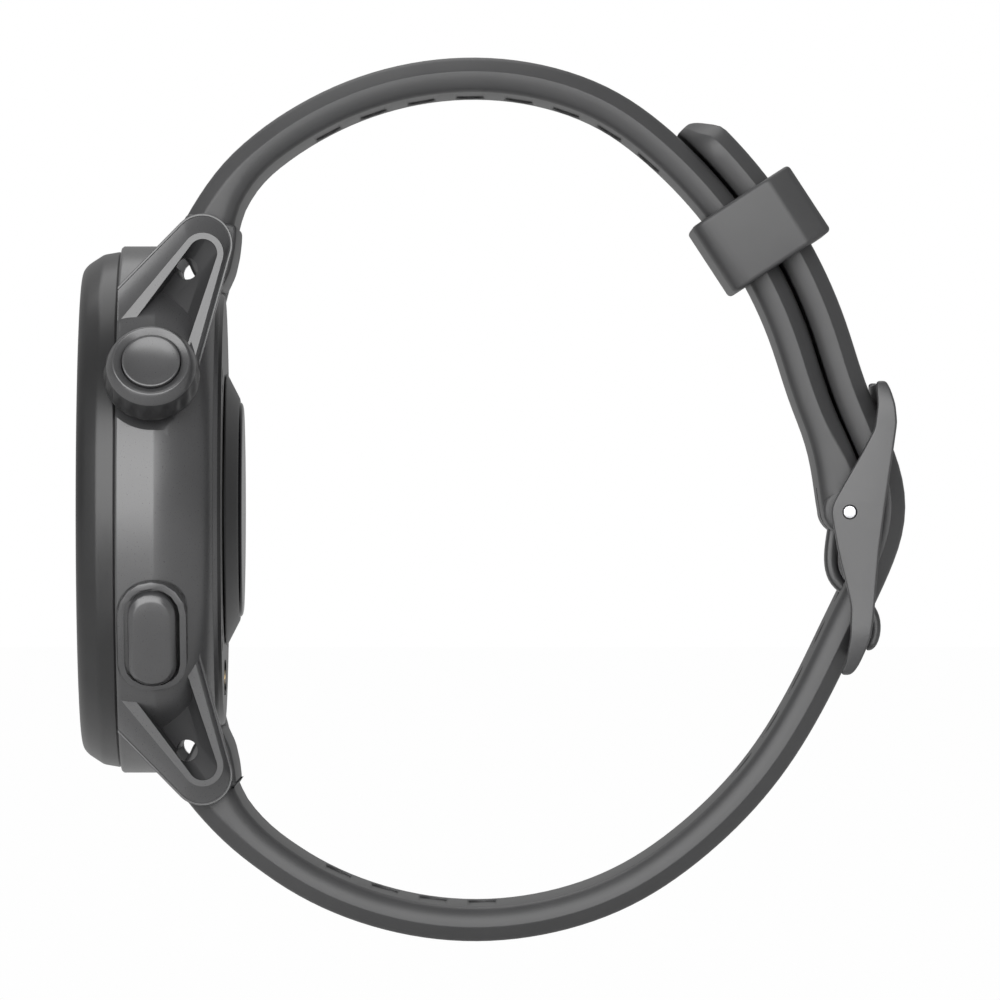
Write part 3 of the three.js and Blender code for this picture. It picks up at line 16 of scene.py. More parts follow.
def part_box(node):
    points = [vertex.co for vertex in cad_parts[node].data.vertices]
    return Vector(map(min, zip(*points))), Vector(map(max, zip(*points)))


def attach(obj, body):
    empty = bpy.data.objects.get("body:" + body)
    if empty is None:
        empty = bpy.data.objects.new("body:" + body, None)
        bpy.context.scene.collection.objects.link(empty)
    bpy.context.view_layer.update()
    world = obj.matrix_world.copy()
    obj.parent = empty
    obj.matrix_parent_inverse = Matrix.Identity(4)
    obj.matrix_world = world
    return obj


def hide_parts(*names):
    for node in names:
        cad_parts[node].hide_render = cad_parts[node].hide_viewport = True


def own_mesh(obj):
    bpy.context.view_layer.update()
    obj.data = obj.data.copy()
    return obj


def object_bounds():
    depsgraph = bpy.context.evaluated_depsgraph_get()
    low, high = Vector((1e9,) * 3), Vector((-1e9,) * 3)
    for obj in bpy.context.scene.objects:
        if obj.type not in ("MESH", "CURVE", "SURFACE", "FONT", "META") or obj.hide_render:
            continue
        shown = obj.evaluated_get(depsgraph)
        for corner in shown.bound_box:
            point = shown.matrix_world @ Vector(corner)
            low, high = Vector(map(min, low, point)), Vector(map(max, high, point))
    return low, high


MM = 0.001
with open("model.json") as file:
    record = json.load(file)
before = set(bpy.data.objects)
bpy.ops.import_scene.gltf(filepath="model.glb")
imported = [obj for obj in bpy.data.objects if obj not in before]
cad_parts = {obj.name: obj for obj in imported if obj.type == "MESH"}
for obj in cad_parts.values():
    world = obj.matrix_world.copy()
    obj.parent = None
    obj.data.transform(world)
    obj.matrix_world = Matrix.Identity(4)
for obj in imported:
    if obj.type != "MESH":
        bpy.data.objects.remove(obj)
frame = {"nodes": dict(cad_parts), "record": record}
nodes = frame["nodes"]
cad_box = [[round(value, 6) for value in corner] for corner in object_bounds()]
print("CAD nodes:", len(nodes), "box:", cad_box)

# %% [markdown]
# The photograph looks straight along the crown's side, from far away with a long lens, so the
# strap's far edge hides almost behind its near one. A long focal length keeps that flatness.

# %% Camera
camera_distance = 1
loop_middle = (0.02043, 0.000758)
camera_data = bpy.data.cameras.new("side_camera")
camera_data.lens = 451
camera_data.sensor_width = 36
camera_data.clip_end = 20
camera = bpy.data.objects.new("side_camera", camera_data)
camera.location = (camera_distance, *loop_middle)
camera.rotation_euler = (math.pi / 2, 0, math.pi / 2)
bpy.context.collection.objects.link(camera)
bpy.context.scene.camera = camera
print("camera stands", camera_distance, "m from the case axis")


# %% [markdown]
# Five outside solids stay as CAD made them: the rear cover, the sensor's housing, the button's
# surround, the contact block and the buckle's pin. CAD edges are hard, and real moulded parts
# have tiny radii that catch the light. So these nodes get their triangles welded, their sharp
# edges bevelled by a tenth of a millimetre, and normals weighted by face area, which keeps flat
# faces flat. They are small or simple, so modelling them again would gain nothing.


# %% Soften the edges of the CAD nodes
def soften(names, width_mm):
    """Welds, bevels and shades CAD nodes with modifiers."""
    for name in names:
        node = nodes[name]
        for polygon in node.data.polygons:
            polygon.use_smooth = True
        weld = node.modifiers.new("weld", "WELD")
        weld.merge_threshold = 0.000002
        bevel = node.modifiers.new("edge", "BEVEL")
        bevel.width = width_mm * MM
        bevel.segments = 2
        bevel.limit_method = "ANGLE"
        bevel.angle_limit = math.radians(32)
        bevel.use_clamp_overlap = True
        weighted = node.modifiers.new("weighted", "WEIGHTED_NORMAL")
        weighted.keep_sharp = True
    print("softened", len(names), "nodes by", width_mm, "mm")


soften(["rear_cover", "sensor_housing"], 0.12)
soften(["button_surround"], 0.1)
soften(["contact_block", "buckle_pin"], 0.08)


# %% [markdown]
# Most outside parts are turned or moulded along one simple line. Three helpers do most of the
# work: one rounds the corners of a drawn line, one spins it round an axis, and one extrudes a
# ring of edges from station to station, moving each new ring to where its cross-section lies.
# The others draw pills and slabs, move a shape to its place, and join or cut by Booleans.


# %% Shape helpers
def rounded_line(corners, steps=4, closed=False):
    """Corners are (across, up, rounding). The line keeps its ends unless it is closed."""
    line = []
    count = len(corners)
    for index, (across, up, rounding) in enumerate(corners):
        here = Vector((across, up))
        if rounding == 0 or (not closed and index in (0, count - 1)):
            line.append(here)
            continue
        before = Vector(corners[index - 1][:2])
        after = Vector(corners[(index + 1) % count][:2])
        start = here + (before - here).normalized() * min(rounding, (before - here).length / 2)
        end = here + (after - here).normalized() * min(rounding, (after - here).length / 2)
        line += [
            start.lerp(here, i / steps).lerp(here.lerp(end, i / steps), i / steps)
            for i in range(steps + 1)
        ]
    return line


def finished(shaper, name, body, sharp_deg):
    """Turns a bmesh into a smooth-shaded piece in millimetres that rides on a body."""
    bmesh.ops.remove_doubles(shaper, verts=shaper.verts[:], dist=0.0005)
    bmesh.ops.recalc_face_normals(shaper, faces=shaper.faces[:])
    bmesh.ops.scale(shaper, vec=(MM, MM, MM), verts=shaper.verts[:])
    mesh = bpy.data.meshes.new(name)
    shaper.to_mesh(mesh)
    shaper.free()
    mesh.shade_smooth()
    mesh.set_sharp_from_angle(angle=math.radians(sharp_deg))
    made = bpy.data.objects.new(name, mesh)
    bpy.context.collection.objects.link(made)
    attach(made, body)
    print(name, "has", len(mesh.polygons), "faces")
    return made


def spun(line, steps, closed=False):
    """Spins (radius, height) points round Y, as a lathe does, and returns the bmesh."""
    shaper = bmesh.new()
    verts = [shaper.verts.new((point[0], point[1], 0)) for point in line]
    following = verts[1:] + verts[:1] if closed else verts[1:]
    edges = [shaper.edges.new(pair) for pair in zip(verts, following)]
    bmesh.ops.spin(
        shaper,
        geom=verts + edges,
        cent=(0, 0, 0),
        axis=(0, 1, 0),
        angle=math.tau,
        steps=steps,
        use_merge=True,
    )
    bmesh.ops.remove_doubles(shaper, verts=shaper.verts[:], dist=0.0005)
    bmesh.ops.recalc_face_normals(shaper, faces=shaper.faces[:])
    return shaper


def grown(rings, closed=False):
    """Extrudes the first ring of points through all the others, and caps or joins the ends."""
    shaper = bmesh.new()
    first = [shaper.verts.new(point) for point in rings[0]]
    loop = [shaper.edges.new(pair) for pair in zip(first, first[1:] + first[:1])]
    start_loop = loop
    number = {vert: index for index, vert in enumerate(first)}
    for ring in rings[1:]:
        made = bmesh.ops.extrude_edge_only(shaper, edges=loop)["geom"]
        fresh = {item for item in made if isinstance(item, bmesh.types.BMVert)}
        renumbered = {}
        for vert in fresh:
            neighbours = [edge.other_vert(vert) for edge in vert.link_edges]
            renumbered[vert] = number[next(near for near in neighbours if near in number)]
        for vert, index in renumbered.items():
            vert.co = ring[index]
        loop = [
            item
            for item in made
            if isinstance(item, bmesh.types.BMEdge) and all(vert in fresh for vert in item.verts)
        ]
        number = renumbered
    if closed:
        bmesh.ops.bridge_loops(shaper, edges=start_loop + loop)
    else:
        bmesh.ops.contextual_create(shaper, geom=start_loop)
        bmesh.ops.contextual_create(shaper, geom=loop)
    bmesh.ops.recalc_face_normals(shaper, faces=shaper.faces[:])
    return shaper


def slab(outline, flip, half_width):
    """Extrudes an outline of (y, z) points across the watch. A flip of -1 mirrors its height."""
    shaper = bmesh.new()
    face = shaper.faces.new([shaper.verts.new((-half_width, y, z * flip)) for y, z in outline])
    made = bmesh.ops.extrude_face_region(shaper, geom=[face])["geom"]
    moved = [item for item in made if isinstance(item, bmesh.types.BMVert)]
    bmesh.ops.translate(shaper, vec=(2 * half_width, 0, 0), verts=moved)
    bmesh.ops.recalc_face_normals(shaper, faces=shaper.faces[:])
    return shaper


def radial(angle_deg, height_y):
    """Turns local Y to point out of the case's side at an angle above 3 o'clock."""
    angle = math.radians(angle_deg)
    out = Vector((math.cos(angle), 0, math.sin(angle)))
    along = Vector((0, 1, 0))
    across = out.cross(along)
    turn = Matrix((along, out, across)).transposed().to_4x4()
    return Matrix.Translation((0, height_y, 0)) @ turn


def stadium(half_length, half_width, grow=0, steps=10):
    """A pill outline: (along Z, along X) points, counted round."""
    reach = half_length - half_width
    radius = half_width + grow
    turns = [math.pi * (i / steps - 0.5) for i in range(steps + 1)]
    return [
        (side * (reach + radius * math.cos(turn)), side * radius * math.sin(turn))
        for side in (1, -1)
        for turn in turns
    ]


def placed(shaper, matrix):
    """Moves a whole bmesh to its place."""
    bmesh.ops.transform(shaper, matrix=matrix, verts=shaper.verts[:])
    return shaper


def quarter_round(radius):
    """Five steps round a corner, each as how far it has still to go along and how far in."""
    turns = [math.pi / 2 * i / 4 for i in range(5)]
    return [(radius * (1 - math.cos(turn)), radius * (1 - math.sin(turn))) for turn in turns]


first_finish = bpy.data.materials.new("first_finish")
second_finish = bpy.data.materials.new("second_finish")


def carve(base, tool, operation):
    """Joins or cuts one closed bmesh by another with a Boolean, and returns the result."""
    objects = []
    for index, shaper in enumerate((base, tool)):
        mesh = bpy.data.meshes.new("carving_" + str(index))
        shaper.to_mesh(mesh)
        shaper.free()
        mesh.materials.append(first_finish)
        mesh.materials.append(second_finish)
        held = bpy.data.objects.new(mesh.name, mesh)
        bpy.context.collection.objects.link(held)
        objects.append(held)
    modifier = objects[0].modifiers.new("carve", "BOOLEAN")
    modifier.operation = operation
    modifier.solver = "MANIFOLD"
    modifier.material_mode = "INDEX"
    modifier.object = objects[1]
    depsgraph = bpy.context.evaluated_depsgraph_get()
    result = bmesh.new()
    result.from_mesh(objects[0].evaluated_get(depsgraph).to_mesh())
    for held in objects:
        mesh = held.data
        bpy.data.objects.remove(held)
        bpy.data.meshes.remove(mesh)
    return result


# %% [markdown]
# The mid case carries the look of the whole side view, so it gets a smooth twin of the CAD
# solid: a turned wall with a crisp crease, four hollow lugs grown from one rounded outline, and
# the same bays, seats and holes cut out of them by Booleans.


# %% Lug outlines, in the side view
bar_y = -3
bar_z = 20.2


def lug_outline(
    radius, front_foot, rear_foot, front_deg=50.6, shift_y=0.0, shift_z=0.0, rear_deg=74.9
):
    """A rounded V, as (y, z) points: up the front leg, round the tip, down the rear leg."""
    front = math.radians(front_deg)
    rear = math.radians(rear_deg)
    tip_y = bar_y + shift_y
    tip_z = bar_z + shift_z
    arc = []
    for i in range(25):
        turn = (front + math.pi / 2) * (1 - i / 24) + (rear - math.pi / 2) * i / 24
        arc.append((tip_y + radius * math.cos(turn), tip_z + radius * math.sin(turn)))
    front_y = -9.65
    front_top = arc[0][1] - (arc[0][0] - front_y) * math.tan(front)
    rear_y = arc[-1][0] - (arc[-1][1] - rear_foot) / math.tan(rear)
    return [(front_y, front_foot), (front_y, front_top)] + arc + [(rear_y, rear_foot)]


def rim_face(y, z):
    """How far out a lug's rim lies: it leans, and lifts towards the case wall."""
    lift = 0.036 * max(0, 17 - z) ** 2 * min(max((y + 6.5) / 2.5, 0), 1)
    return 12.8 - 0.2 * (y - bar_y) - 0.12 * (z - bar_z) + lift


def shoulder_face(y, z):
    """How far out the step at a lug's root lies."""
    return rim_face(y, z) - 0.42


def pocket_face(y, z):
    """How far out the bottom of a lug's hollow lies."""
    return 11.75 + 0.25 * (y + 5.2) + 0.2 * (18.6 - z)


def at_depth(outline, depth, face=None):
    """Lays an outline on one of those faces, or on a flat one, and moves it outwards."""
    return [((face(y, z) if face else 0) + depth, y, z) for y, z in outline]


def inside_front(outline):
    """Keeps a hollow's outline behind the case's front edge."""
    return [(max(y, -9.07), z) for y, z in outline]


# %% One lug
bay_half_width = 11.15
root, root_lip, root_land, root_step = (
    lug_outline(radius, 6.5, 7.2, 46, -0.05, 0.75) for radius in (2.4, 2.36, 2.24, 2.18)
)
rim, rim_top = (lug_outline(radius, 6.6, 8.4) for radius in (1.68, 1.62))
mouth, mouth_wide = (lug_outline(radius, 7.4, 7.4, rear_deg=72) for radius in (1.1, 1.14))
pocket = lug_outline(0.86, 7.4, 7.4, 50.6, -0.95, -1.25, 72)
lug = grown(
    [
        at_depth(root, bay_half_width),
        at_depth(root, -0.04, shoulder_face),
        at_depth(root_lip, 0, shoulder_face),
        at_depth(root_land, 0, shoulder_face),
        at_depth(root_step, -0.07, shoulder_face),
        at_depth(rim, -0.06, rim_face),
        at_depth(rim_top, 0, rim_face),
    ]
)
scoop = grown(
    [
        at_depth(inside_front(pocket), 0, pocket_face),
        at_depth(inside_front(mouth), -0.06, rim_face),
        at_depth(inside_front(mouth_wide), 0, rim_face),
        at_depth(inside_front(mouth_wide), 2, rim_face),
    ]
)
# The hollow's faces get the second finish later: a darker matt one that paints shade into the
# hollow.
for face in scoop.faces:
    face.material_index = 1
lug = carve(lug, scoop, "DIFFERENCE")
print("lug volume", round(lug.calc_volume(), 1), "mm3")


# %% The case wall, its lugs and its hollow
def drum(radius, low, high, steps, place):
    """A closed cylinder along Y between two heights, moved to its place."""
    shaper = bmesh.new()
    bmesh.ops.create_cone(
        shaper,
        cap_ends=True,
        segments=steps,
        radius1=radius,
        radius2=radius,
        depth=high - low,
        matrix=Matrix.Translation((0, (low + high) / 2, 0)) @ Matrix.Rotation(-math.pi / 2, 4, "X"),
    )
    placed(shaper, place)
    bmesh.ops.recalc_face_normals(shaper, faces=shaper.faces[:])
    return shaper


wall_line = [
    (0, -9.7), (20.82, -9.7), (20.86, -9.69), (20.985, -9.54), (21, -9.49), (21, -9.3),
    (21, -6.82), (21, -6.74), (20.99, -6.68), (20.97, -6.6),
]
crease, bend, foot = Vector((21, -6.7)), Vector((19.9, -2.9)), Vector((17.75, -2.1))
for i in range(1, 13):
    share = i / 12
    point = crease.lerp(bend, share).lerp(bend.lerp(foot, share), share)
    wall_line.append((point.x, point.y))
wall_line += [(17.56, -1.82), (17.5, -1.76), (0, -1.76)]
mid = spun(wall_line, 180)
for flip_x in (1, -1):
    for flip_z in (1, -1):
        twin = lug.copy()
        bmesh.ops.scale(twin, vec=(flip_x, 1, flip_z), verts=twin.verts[:])
        bmesh.ops.recalc_face_normals(twin, faces=twin.faces[:])
        mid = carve(mid, twin, "UNION")
lug.free()
hollow = spun(
    [
        (0, -12), (18.35, -12), (18.35, -8.65), (17.2, -8.65), (17.2, -3.55), (15.4, -3.55),
        (15.4, -2.8), (17.49, -2.8), (17.46, -2.7), (17.46, 1), (0, 1),
    ],
    180,
)
mid = carve(mid, hollow, "DIFFERENCE")
print("case wall with lugs has", len(mid.faces), "faces")

# %% Bays for the strap ends, and the holes in the lugs
bay_line = [
    (-6.5, 23), (-6.5, 20.4), (-5.1, 19), (-4.3, 18.3), (-3.9, 18.1), (-3.05, 17.05),
    (0, 17.05), (0, 23),
]
pin_radius = 0.48
relief_radius = 0.85
sideways = Matrix.Rotation(-math.pi / 2, 4, "Z")
for flip in (1, -1):
    mid = carve(mid, slab(bay_line, flip, bay_half_width), "DIFFERENCE")
    bar_place = Matrix.Translation((0, bar_y, bar_z * flip)) @ sideways
    relief_place = Matrix.Translation((0, -4.25, 19 * flip)) @ sideways
    mid = carve(mid, drum(pin_radius, -11.55, 11.55, 24, bar_place), "DIFFERENCE")
    mid = carve(mid, drum(relief_radius, -15, 15, 40, relief_place), "DIFFERENCE")

# %% Seats for the crown and the button
crown_place = radial(28.4, -6.84)
button_place = radial(-28.9, -6.84)
crown_seat = drum(4.05, 20.35, 23, 96, crown_place)
crown_bore = drum(1.45, 15, 21, 32, crown_place)
button_bore = drum(0.7, 15, 21, 24, button_place)
seat_outline = stadium(5, 2.78, 0, 16)
button_seat = grown([[(x, height, z) for z, x in seat_outline] for height in (19.5, 23)])
for cut in (crown_seat, crown_bore, button_bore, placed(button_seat, button_place)):
    mid = carve(mid, cut, "DIFFERENCE")
case_shell = finished(mid, "case_shell", "watch", 30)
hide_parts("mid_case")

# %% [markdown]
# The bezel is a moulded ring with a soft shoulder that rolls from its flat front face into the
# side. A lathe line with generous roundings gives that roll, which CAD facets can't show.

# %% Bezel
bezel_line = rounded_line(
    [
        (17.92, -12.83, 0.15), (18.9, -12.83, 0.5), (19.5, -12.42, 0.45),
        (20.34, -11.12, 0.22), (20.55, -9.9, 0.05), (20.47, -9.72, 0), (18.25, -9.72, 0),
        (18.25, -8.75, 0), (17.2, -8.75, 0), (17.2, -10.85, 0), (16.55, -10.85, 0),
        (16.55, -11.35, 0), (17.45, -11.35, 0), (17.45, -12.6, 0.05),
    ],
    4,
    True,
)
bezel = finished(spun(bezel_line, 144, True), "bezel_ring", "watch", 40)
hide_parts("bezel")

# %% [markdown]
# The display glass is flat, with a ground edge. It is turned as well, with a finer edge.

# %% Front glass
glass_line = rounded_line(
    [
        (0, -12.6, 0), (17.38, -12.6, 0.22), (17.38, -11.66, 0.05), (0, -11.66, 0),
    ]
)
front_glass = finished(spun(glass_line, 144), "face_glass", "watch", 30)
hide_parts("front_glass")

# %% [markdown]
# The sensor's window stands a little proud of its housing, so its dark polished edge shows from
# the side. A turned disc with a rolled edge gives that line.

# %% Sensor window
eye_line = [
    (0, 0), (7.6, -0.005), (8.1, -0.02), (8.35, -0.07), (8.5, -0.16), (8.58, -0.3),
    (8.6, -0.48), (8.6, -1.25), (0, -1.25),
]
sensor_eye = finished(spun(eye_line, 120), "sensor_eye", "watch", 40)
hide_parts("sensor_window")

# %% [markdown]
# The crown is a fluted drum with a dished top ring and a separate, slightly hollow centre cap.
# The hollow shows in the photograph: its upper part is bright and its lower part dark, which is
# the wrong way round for a dome. Flutes are shallow scallops round the drum's lower half.

# %% Crown
crown_profile = [
    (0.0, 0.9, 0), (0.0, 3.3, 0), (0.03, 3.43, 0), (0.16, 3.6, 0), (0.4, 3.74, 0.1),
    (0.75, 3.79, 0.6), (1.15, 3.79, 1), (1.5, 3.75, 1), (1.75, 3.69, 0.7), (2.05, 3.6, 0.25),
    (2.35, 3.52, 0), (2.65, 3.41, 0), (2.95, 3.27, 0), (3.15, 3.14, 0), (3.25, 3.06, 0),
    (3.3, 2.98, 0), (3.3, 2.93, 0), (3.27, 2.88, 0), (3.05, 2.42, 0), (3.0, 2.36, 0),
    (2.9, 2.34, 0), (2.25, 2.33, 0), (2.2, 2.3, 0), (2.2, 0.9, 0),
]
crown_foot = 21.2
flute_count = 18
points_round = flute_count * 8
crown_rings = []
for height, radius, flute in crown_profile:
    ring = []
    for i in range(points_round):
        turn = math.tau * i / points_round
        reach = radius - 0.2 * flute * (0.5 - 0.5 * math.cos(turn * flute_count)) ** 1.3
        ring.append((reach * math.cos(turn), crown_foot + height, reach * math.sin(turn)))
    crown_rings.append(ring)
grip_top = 23.6
grip_radius = 3.2
shaper = grown(crown_rings, closed=True)
for face in shaper.faces:
    middle = face.calc_center_median()
    if middle.y < grip_top and math.hypot(middle.x, middle.z) > grip_radius:
        face.material_index = 1
shaper = placed(shaper, crown_place)
crown_drum = finished(shaper, "crown_drum", "crown", 35)
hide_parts("crown_knob")

# %% Crown cap
cap_line = rounded_line(
    [
        (0, 24.22, 0), (0.8, 24.25, 0.3), (1.5, 24.34, 0.3), (2.16, 24.52, 0.1),
        (2.29, 24.47, 0.06), (2.29, 23.45, 0), (0, 23.45, 0),
    ],
)
shaper = placed(spun(cap_line, 96), crown_place)
crown_dish = finished(shaper, "crown_dish", "crown", 35)
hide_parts("crown_cap")


# %% [markdown]
# The button is a long pill with a softly crowned face and a wide chamfer. It grows from rings
# of one stadium outline, each a little smaller than the last, up to its face.


# %% Button
def face_rise(z):
    """The button's face stands a little higher in its middle."""
    return 0.22 * (1 - (z / 4.14) ** 2)


button_steps = [
    (20.62, 0), (21.3, 0), (21.36, -0.02), (21.42, -0.06), (21.66, -0.34), (21.72, -0.43),
    (21.745, -0.52),
]
button_rings = []
for height, grow in button_steps:
    on_face = height > 21.25
    outline = stadium(4.12, 1.88, grow)
    button_rings.append(
        [(x, height - 0.2 + (face_rise(z) if on_face else 0), z) for z, x in outline]
    )
for share in (0.8, 0.55, 0.3, 0.08):
    button_rings.append([(x * share, 21.56 + face_rise(share * z), z * share) for z, x in outline])
shaper = placed(grown(button_rings), button_place)
button_pill = finished(shaper, "button_pill", "button", 24)
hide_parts("button_cap")


# %% [markdown]
# The strap halves are moulded silicone. Their cross-section has a sloped shoulder on the
# outside, a crisp crest, and a broad round edge on the wrist side. The section travels along
# the strap's own curve, thick at the lugs, thin and narrow towards the tip.


# %% Strap helpers
def smooth_route(corners, spacing=1.0, relax=8):
    """A smooth line of evenly spaced points through the given (y, z) corners."""
    points = [Vector((0, y, z)) for y, z in corners]
    gaps = [(b - a).length for a, b in zip(points, points[1:])]
    slopes = [(b - a) / gap for a, b, gap in zip(points, points[1:], gaps)]
    tangents = [slopes[0]]
    for i in range(1, len(points) - 1):
        tangents.append((slopes[i - 1] * gaps[i] + slopes[i] * gaps[i - 1]).normalized())
    tangents.append(slopes[-1])
    fine = [points[0]]
    for i, gap in enumerate(gaps):
        handle = points[i] + tangents[i] * gap / 3
        other = points[i + 1] - tangents[i + 1] * gap / 3
        fine += interpolate_bezier(points[i], handle, other, points[i + 1], 40)[1:]
    lengths = [0]
    for a, b in zip(fine, fine[1:]):
        lengths.append(lengths[-1] + (b - a).length)
    count = round(lengths[-1] / spacing)
    route = []
    index = 0
    for i in range(count + 1):
        wanted = lengths[-1] * i / count
        while index < len(lengths) - 2 and lengths[index + 1] < wanted:
            index += 1
        share = (wanted - lengths[index]) / (lengths[index + 1] - lengths[index])
        route.append(fine[index].lerp(fine[index + 1], share))
    for _ in range(relax):
        route = (
            [route[0]]
            + [here.lerp((a + b) / 2, 0.5) for a, here, b in zip(route, route[1:], route[2:])]
            + [route[-1]]
        )
    return route


def station(route, distance, side):
    """The point, direction and outward direction at a distance along a route of 1 mm steps."""
    place = max(0, min(distance, len(route) - 1.001))
    index = int(place)
    at = route[index].lerp(route[index + 1], place - index)
    low = max(index - 1, 0)
    high = min(index + 2, len(route) - 1)
    before = (route[index + 1] - route[low]).normalized()
    after = (route[high] - route[index]).normalized()
    along = before.lerp(after, place - index).normalized()
    return at, along, Vector((0, -along.z, along.y)) * side


def ease(value, start, end):
    share = max(0, min((value - start) / (end - start), 1))
    return share * share * (3 - 2 * share)


def strap_width(distance):
    return 22 - 2 * ease(distance, 10, 50)


def strap_thickness(distance):
    return 3.72 - 0.97 * ease(distance, 0, 8.5)


def heel(distance):
    """How much the strap gains or loses on the wrist side, close to the case."""
    settled = ease(distance, 0, 3)
    return 0.15 * (1 - settled) - 0.3 * settled * (1 - ease(distance, 3, 9))


def strap_section(at, outward, width, thickness, shoulder=1.0):
    half_width = width / 2
    half = thickness / 2
    drop = min(1.12, half) * shoulder
    reach = min(1.1, half_width / 2) * shoulder
    edge_in = min(1.15, half_width / 2)
    edge_rise = min(1.55, thickness - drop - 0.06)
    side = rounded_line(
        [
            (0, half, 0),
            (half_width - reach, half, 0.4),
            (half_width, half - drop, 0.17),
            (half_width, edge_rise - half, 0),
        ],
        3,
    )
    for i in range(1, 9):
        turn = math.pi / 2 * i / 8
        across = half_width - edge_in * (1 - math.cos(turn))
        side.append(Vector((across, edge_rise - half - edge_rise * math.sin(turn))))
    outline = side + [Vector((-point.x, point.y)) for point in reversed(side[1:])]
    return [at + outward * point.y + Vector((point.x, 0, 0)) for point in outline]


def cutter(route, side, distance, half_width, half_length, levels):
    """A pill-shaped plug across the strap. Levels are (height above the middle, growth)."""
    at, along, outward = station(route, distance, side)
    rings = []
    for height, grow in levels:
        outline = stadium(half_width, half_length, grow, 8)
        middle = at + outward * height
        rings.append([middle + along * z + Vector((x, 0, 0)) for x, z in outline])
    return grown(rings)


# %% [markdown]
# Each half fills the bay between two lugs with a thick end block, which holds the spring bar.
# The block is a drawn outline, extruded across the strap and bevelled.


# %% Strap end block
def end_block(route, side):
    """The block in the bay. Its outline starts and ends on the strap's own two faces."""
    at, _, outward = station(route, 0.35, side)
    root_outer = at + outward * 1.86
    at, _, outward = station(route, 1.4, side)
    root_inner = at - outward * 1.95
    outline = [
        (root_outer.y, abs(root_outer.z)),
        (-5.4, 21.45), (-5.3, 20.65), (-4.2, 19.55), (-3.75, 18.5), (-2.75, 17.42),
        (-1.5, 17.42), (-0.86, 18.8), (-0.52, 20.3), (-0.36, 21.7),
        (root_inner.y, abs(root_inner.z)),
    ]
    shaper = slab(outline, side, 10.99)
    bmesh.ops.bevel(
        shaper,
        geom=shaper.edges[:],
        offset=0.36,
        affect="EDGES",
        segments=4,
        profile=0.5,
        material=-1,
    )
    return shaper


# %% Upper strap half
upper_route = smooth_route(
    [
        (-2.75, 22.198), (-1.994, 23.507), (-0.544, 26.266), (4.969, 30.774), (12.552, 33.807),
        (18.038, 34.456), (24.053, 33.795), (29.592, 31.645), (32.765, 29.245),
        (35.659, 26.516), (38.241, 23.489), (40.48, 20.2), (42.35, 16.689), (43.829, 12.995),
        (44.9, 9.163), (45.947, 6.731), (46.968, 4.269), (47.873, -0.088),
    ]
)
pin_y = 48.023
pin_z = -0.188
eye_radius = 1.9
last = len(upper_route) - 1
rings = []
for step in range(last + 1):
    at, _, outward = station(upper_route, step, 1)
    share = ease(step, last - 8, last)
    thickness = (strap_thickness(step) + heel(step)) * (1 - share) + 2 * eye_radius * share
    at = at - outward * heel(step) / 2
    rings.append(strap_section(at, outward, strap_width(step), thickness, 1 - share / 2))
upper = grown(rings)
upper = carve(upper, end_block(upper_route, 1), "UNION")


# %% The eye round the buckle's pin, and its fork slot
def round_rims(shaper, width):
    """Bevels the two round edges of a drum that lies across the watch."""
    rims = [edge for edge in shaper.edges if abs(edge.verts[0].co.x - edge.verts[1].co.x) < 0.001]
    bmesh.ops.bevel(
        shaper, geom=rims, offset=width, affect="EDGES", segments=3, profile=0.5, material=-1
    )


eye = bmesh.new()
eye_place = Matrix.Translation((0, pin_y - 0.15, pin_z + 0.1))
bmesh.ops.create_cone(
    eye,
    cap_ends=True,
    segments=48,
    radius1=eye_radius,
    radius2=eye_radius,
    depth=20,
    matrix=eye_place @ Matrix.Rotation(math.pi / 2, 4, "Y"),
)
round_rims(eye, 0.4)
upper = carve(upper, eye, "UNION")
fork_width, fork_depth = 3.2, 8
fork_place = Matrix.Translation((0, pin_y, pin_z + eye_radius - fork_depth / 2))
fork_size = Matrix.Diagonal((fork_width, fork_depth, fork_depth, 1))
fork = bmesh.new()
bmesh.ops.create_cube(fork, size=1, matrix=fork_place @ fork_size)
upper = carve(upper, fork, "DIFFERENCE")

# %% Vents on the wrist side
hole_pitch = 4.15
first_vent = 13
vent_edge = ((-0.6, 0.3), (0, 0.1), (0.08, 0), (0.15, 0), (0.22, -0.1))


def vented(strap, route, side, count):
    """Cuts a row of wide, shallow pills into the side that lies on the wrist."""
    for index in range(count):
        distance = first_vent + hole_pitch * index
        inner = -strap_thickness(distance) / 2
        levels = [(inner + rise, grow) for rise, grow in vent_edge]
        strap = carve(strap, cutter(route, side, distance, 7.5, 1.1, levels), "DIFFERENCE")
    return strap


upper = vented(upper, upper_route, 1, 8)
strap_upper = finished(upper, "strap_upper", "watch", 30)
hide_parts("strap_12")

# %% [markdown]
# The lower half is the long one. It passes under the upper half and through the keeper, and
# ends in a thin round tip. The same section travels along another route, and its last rings
# narrow and thin towards the tip. The adjusting holes are cut right through, with soft rims.

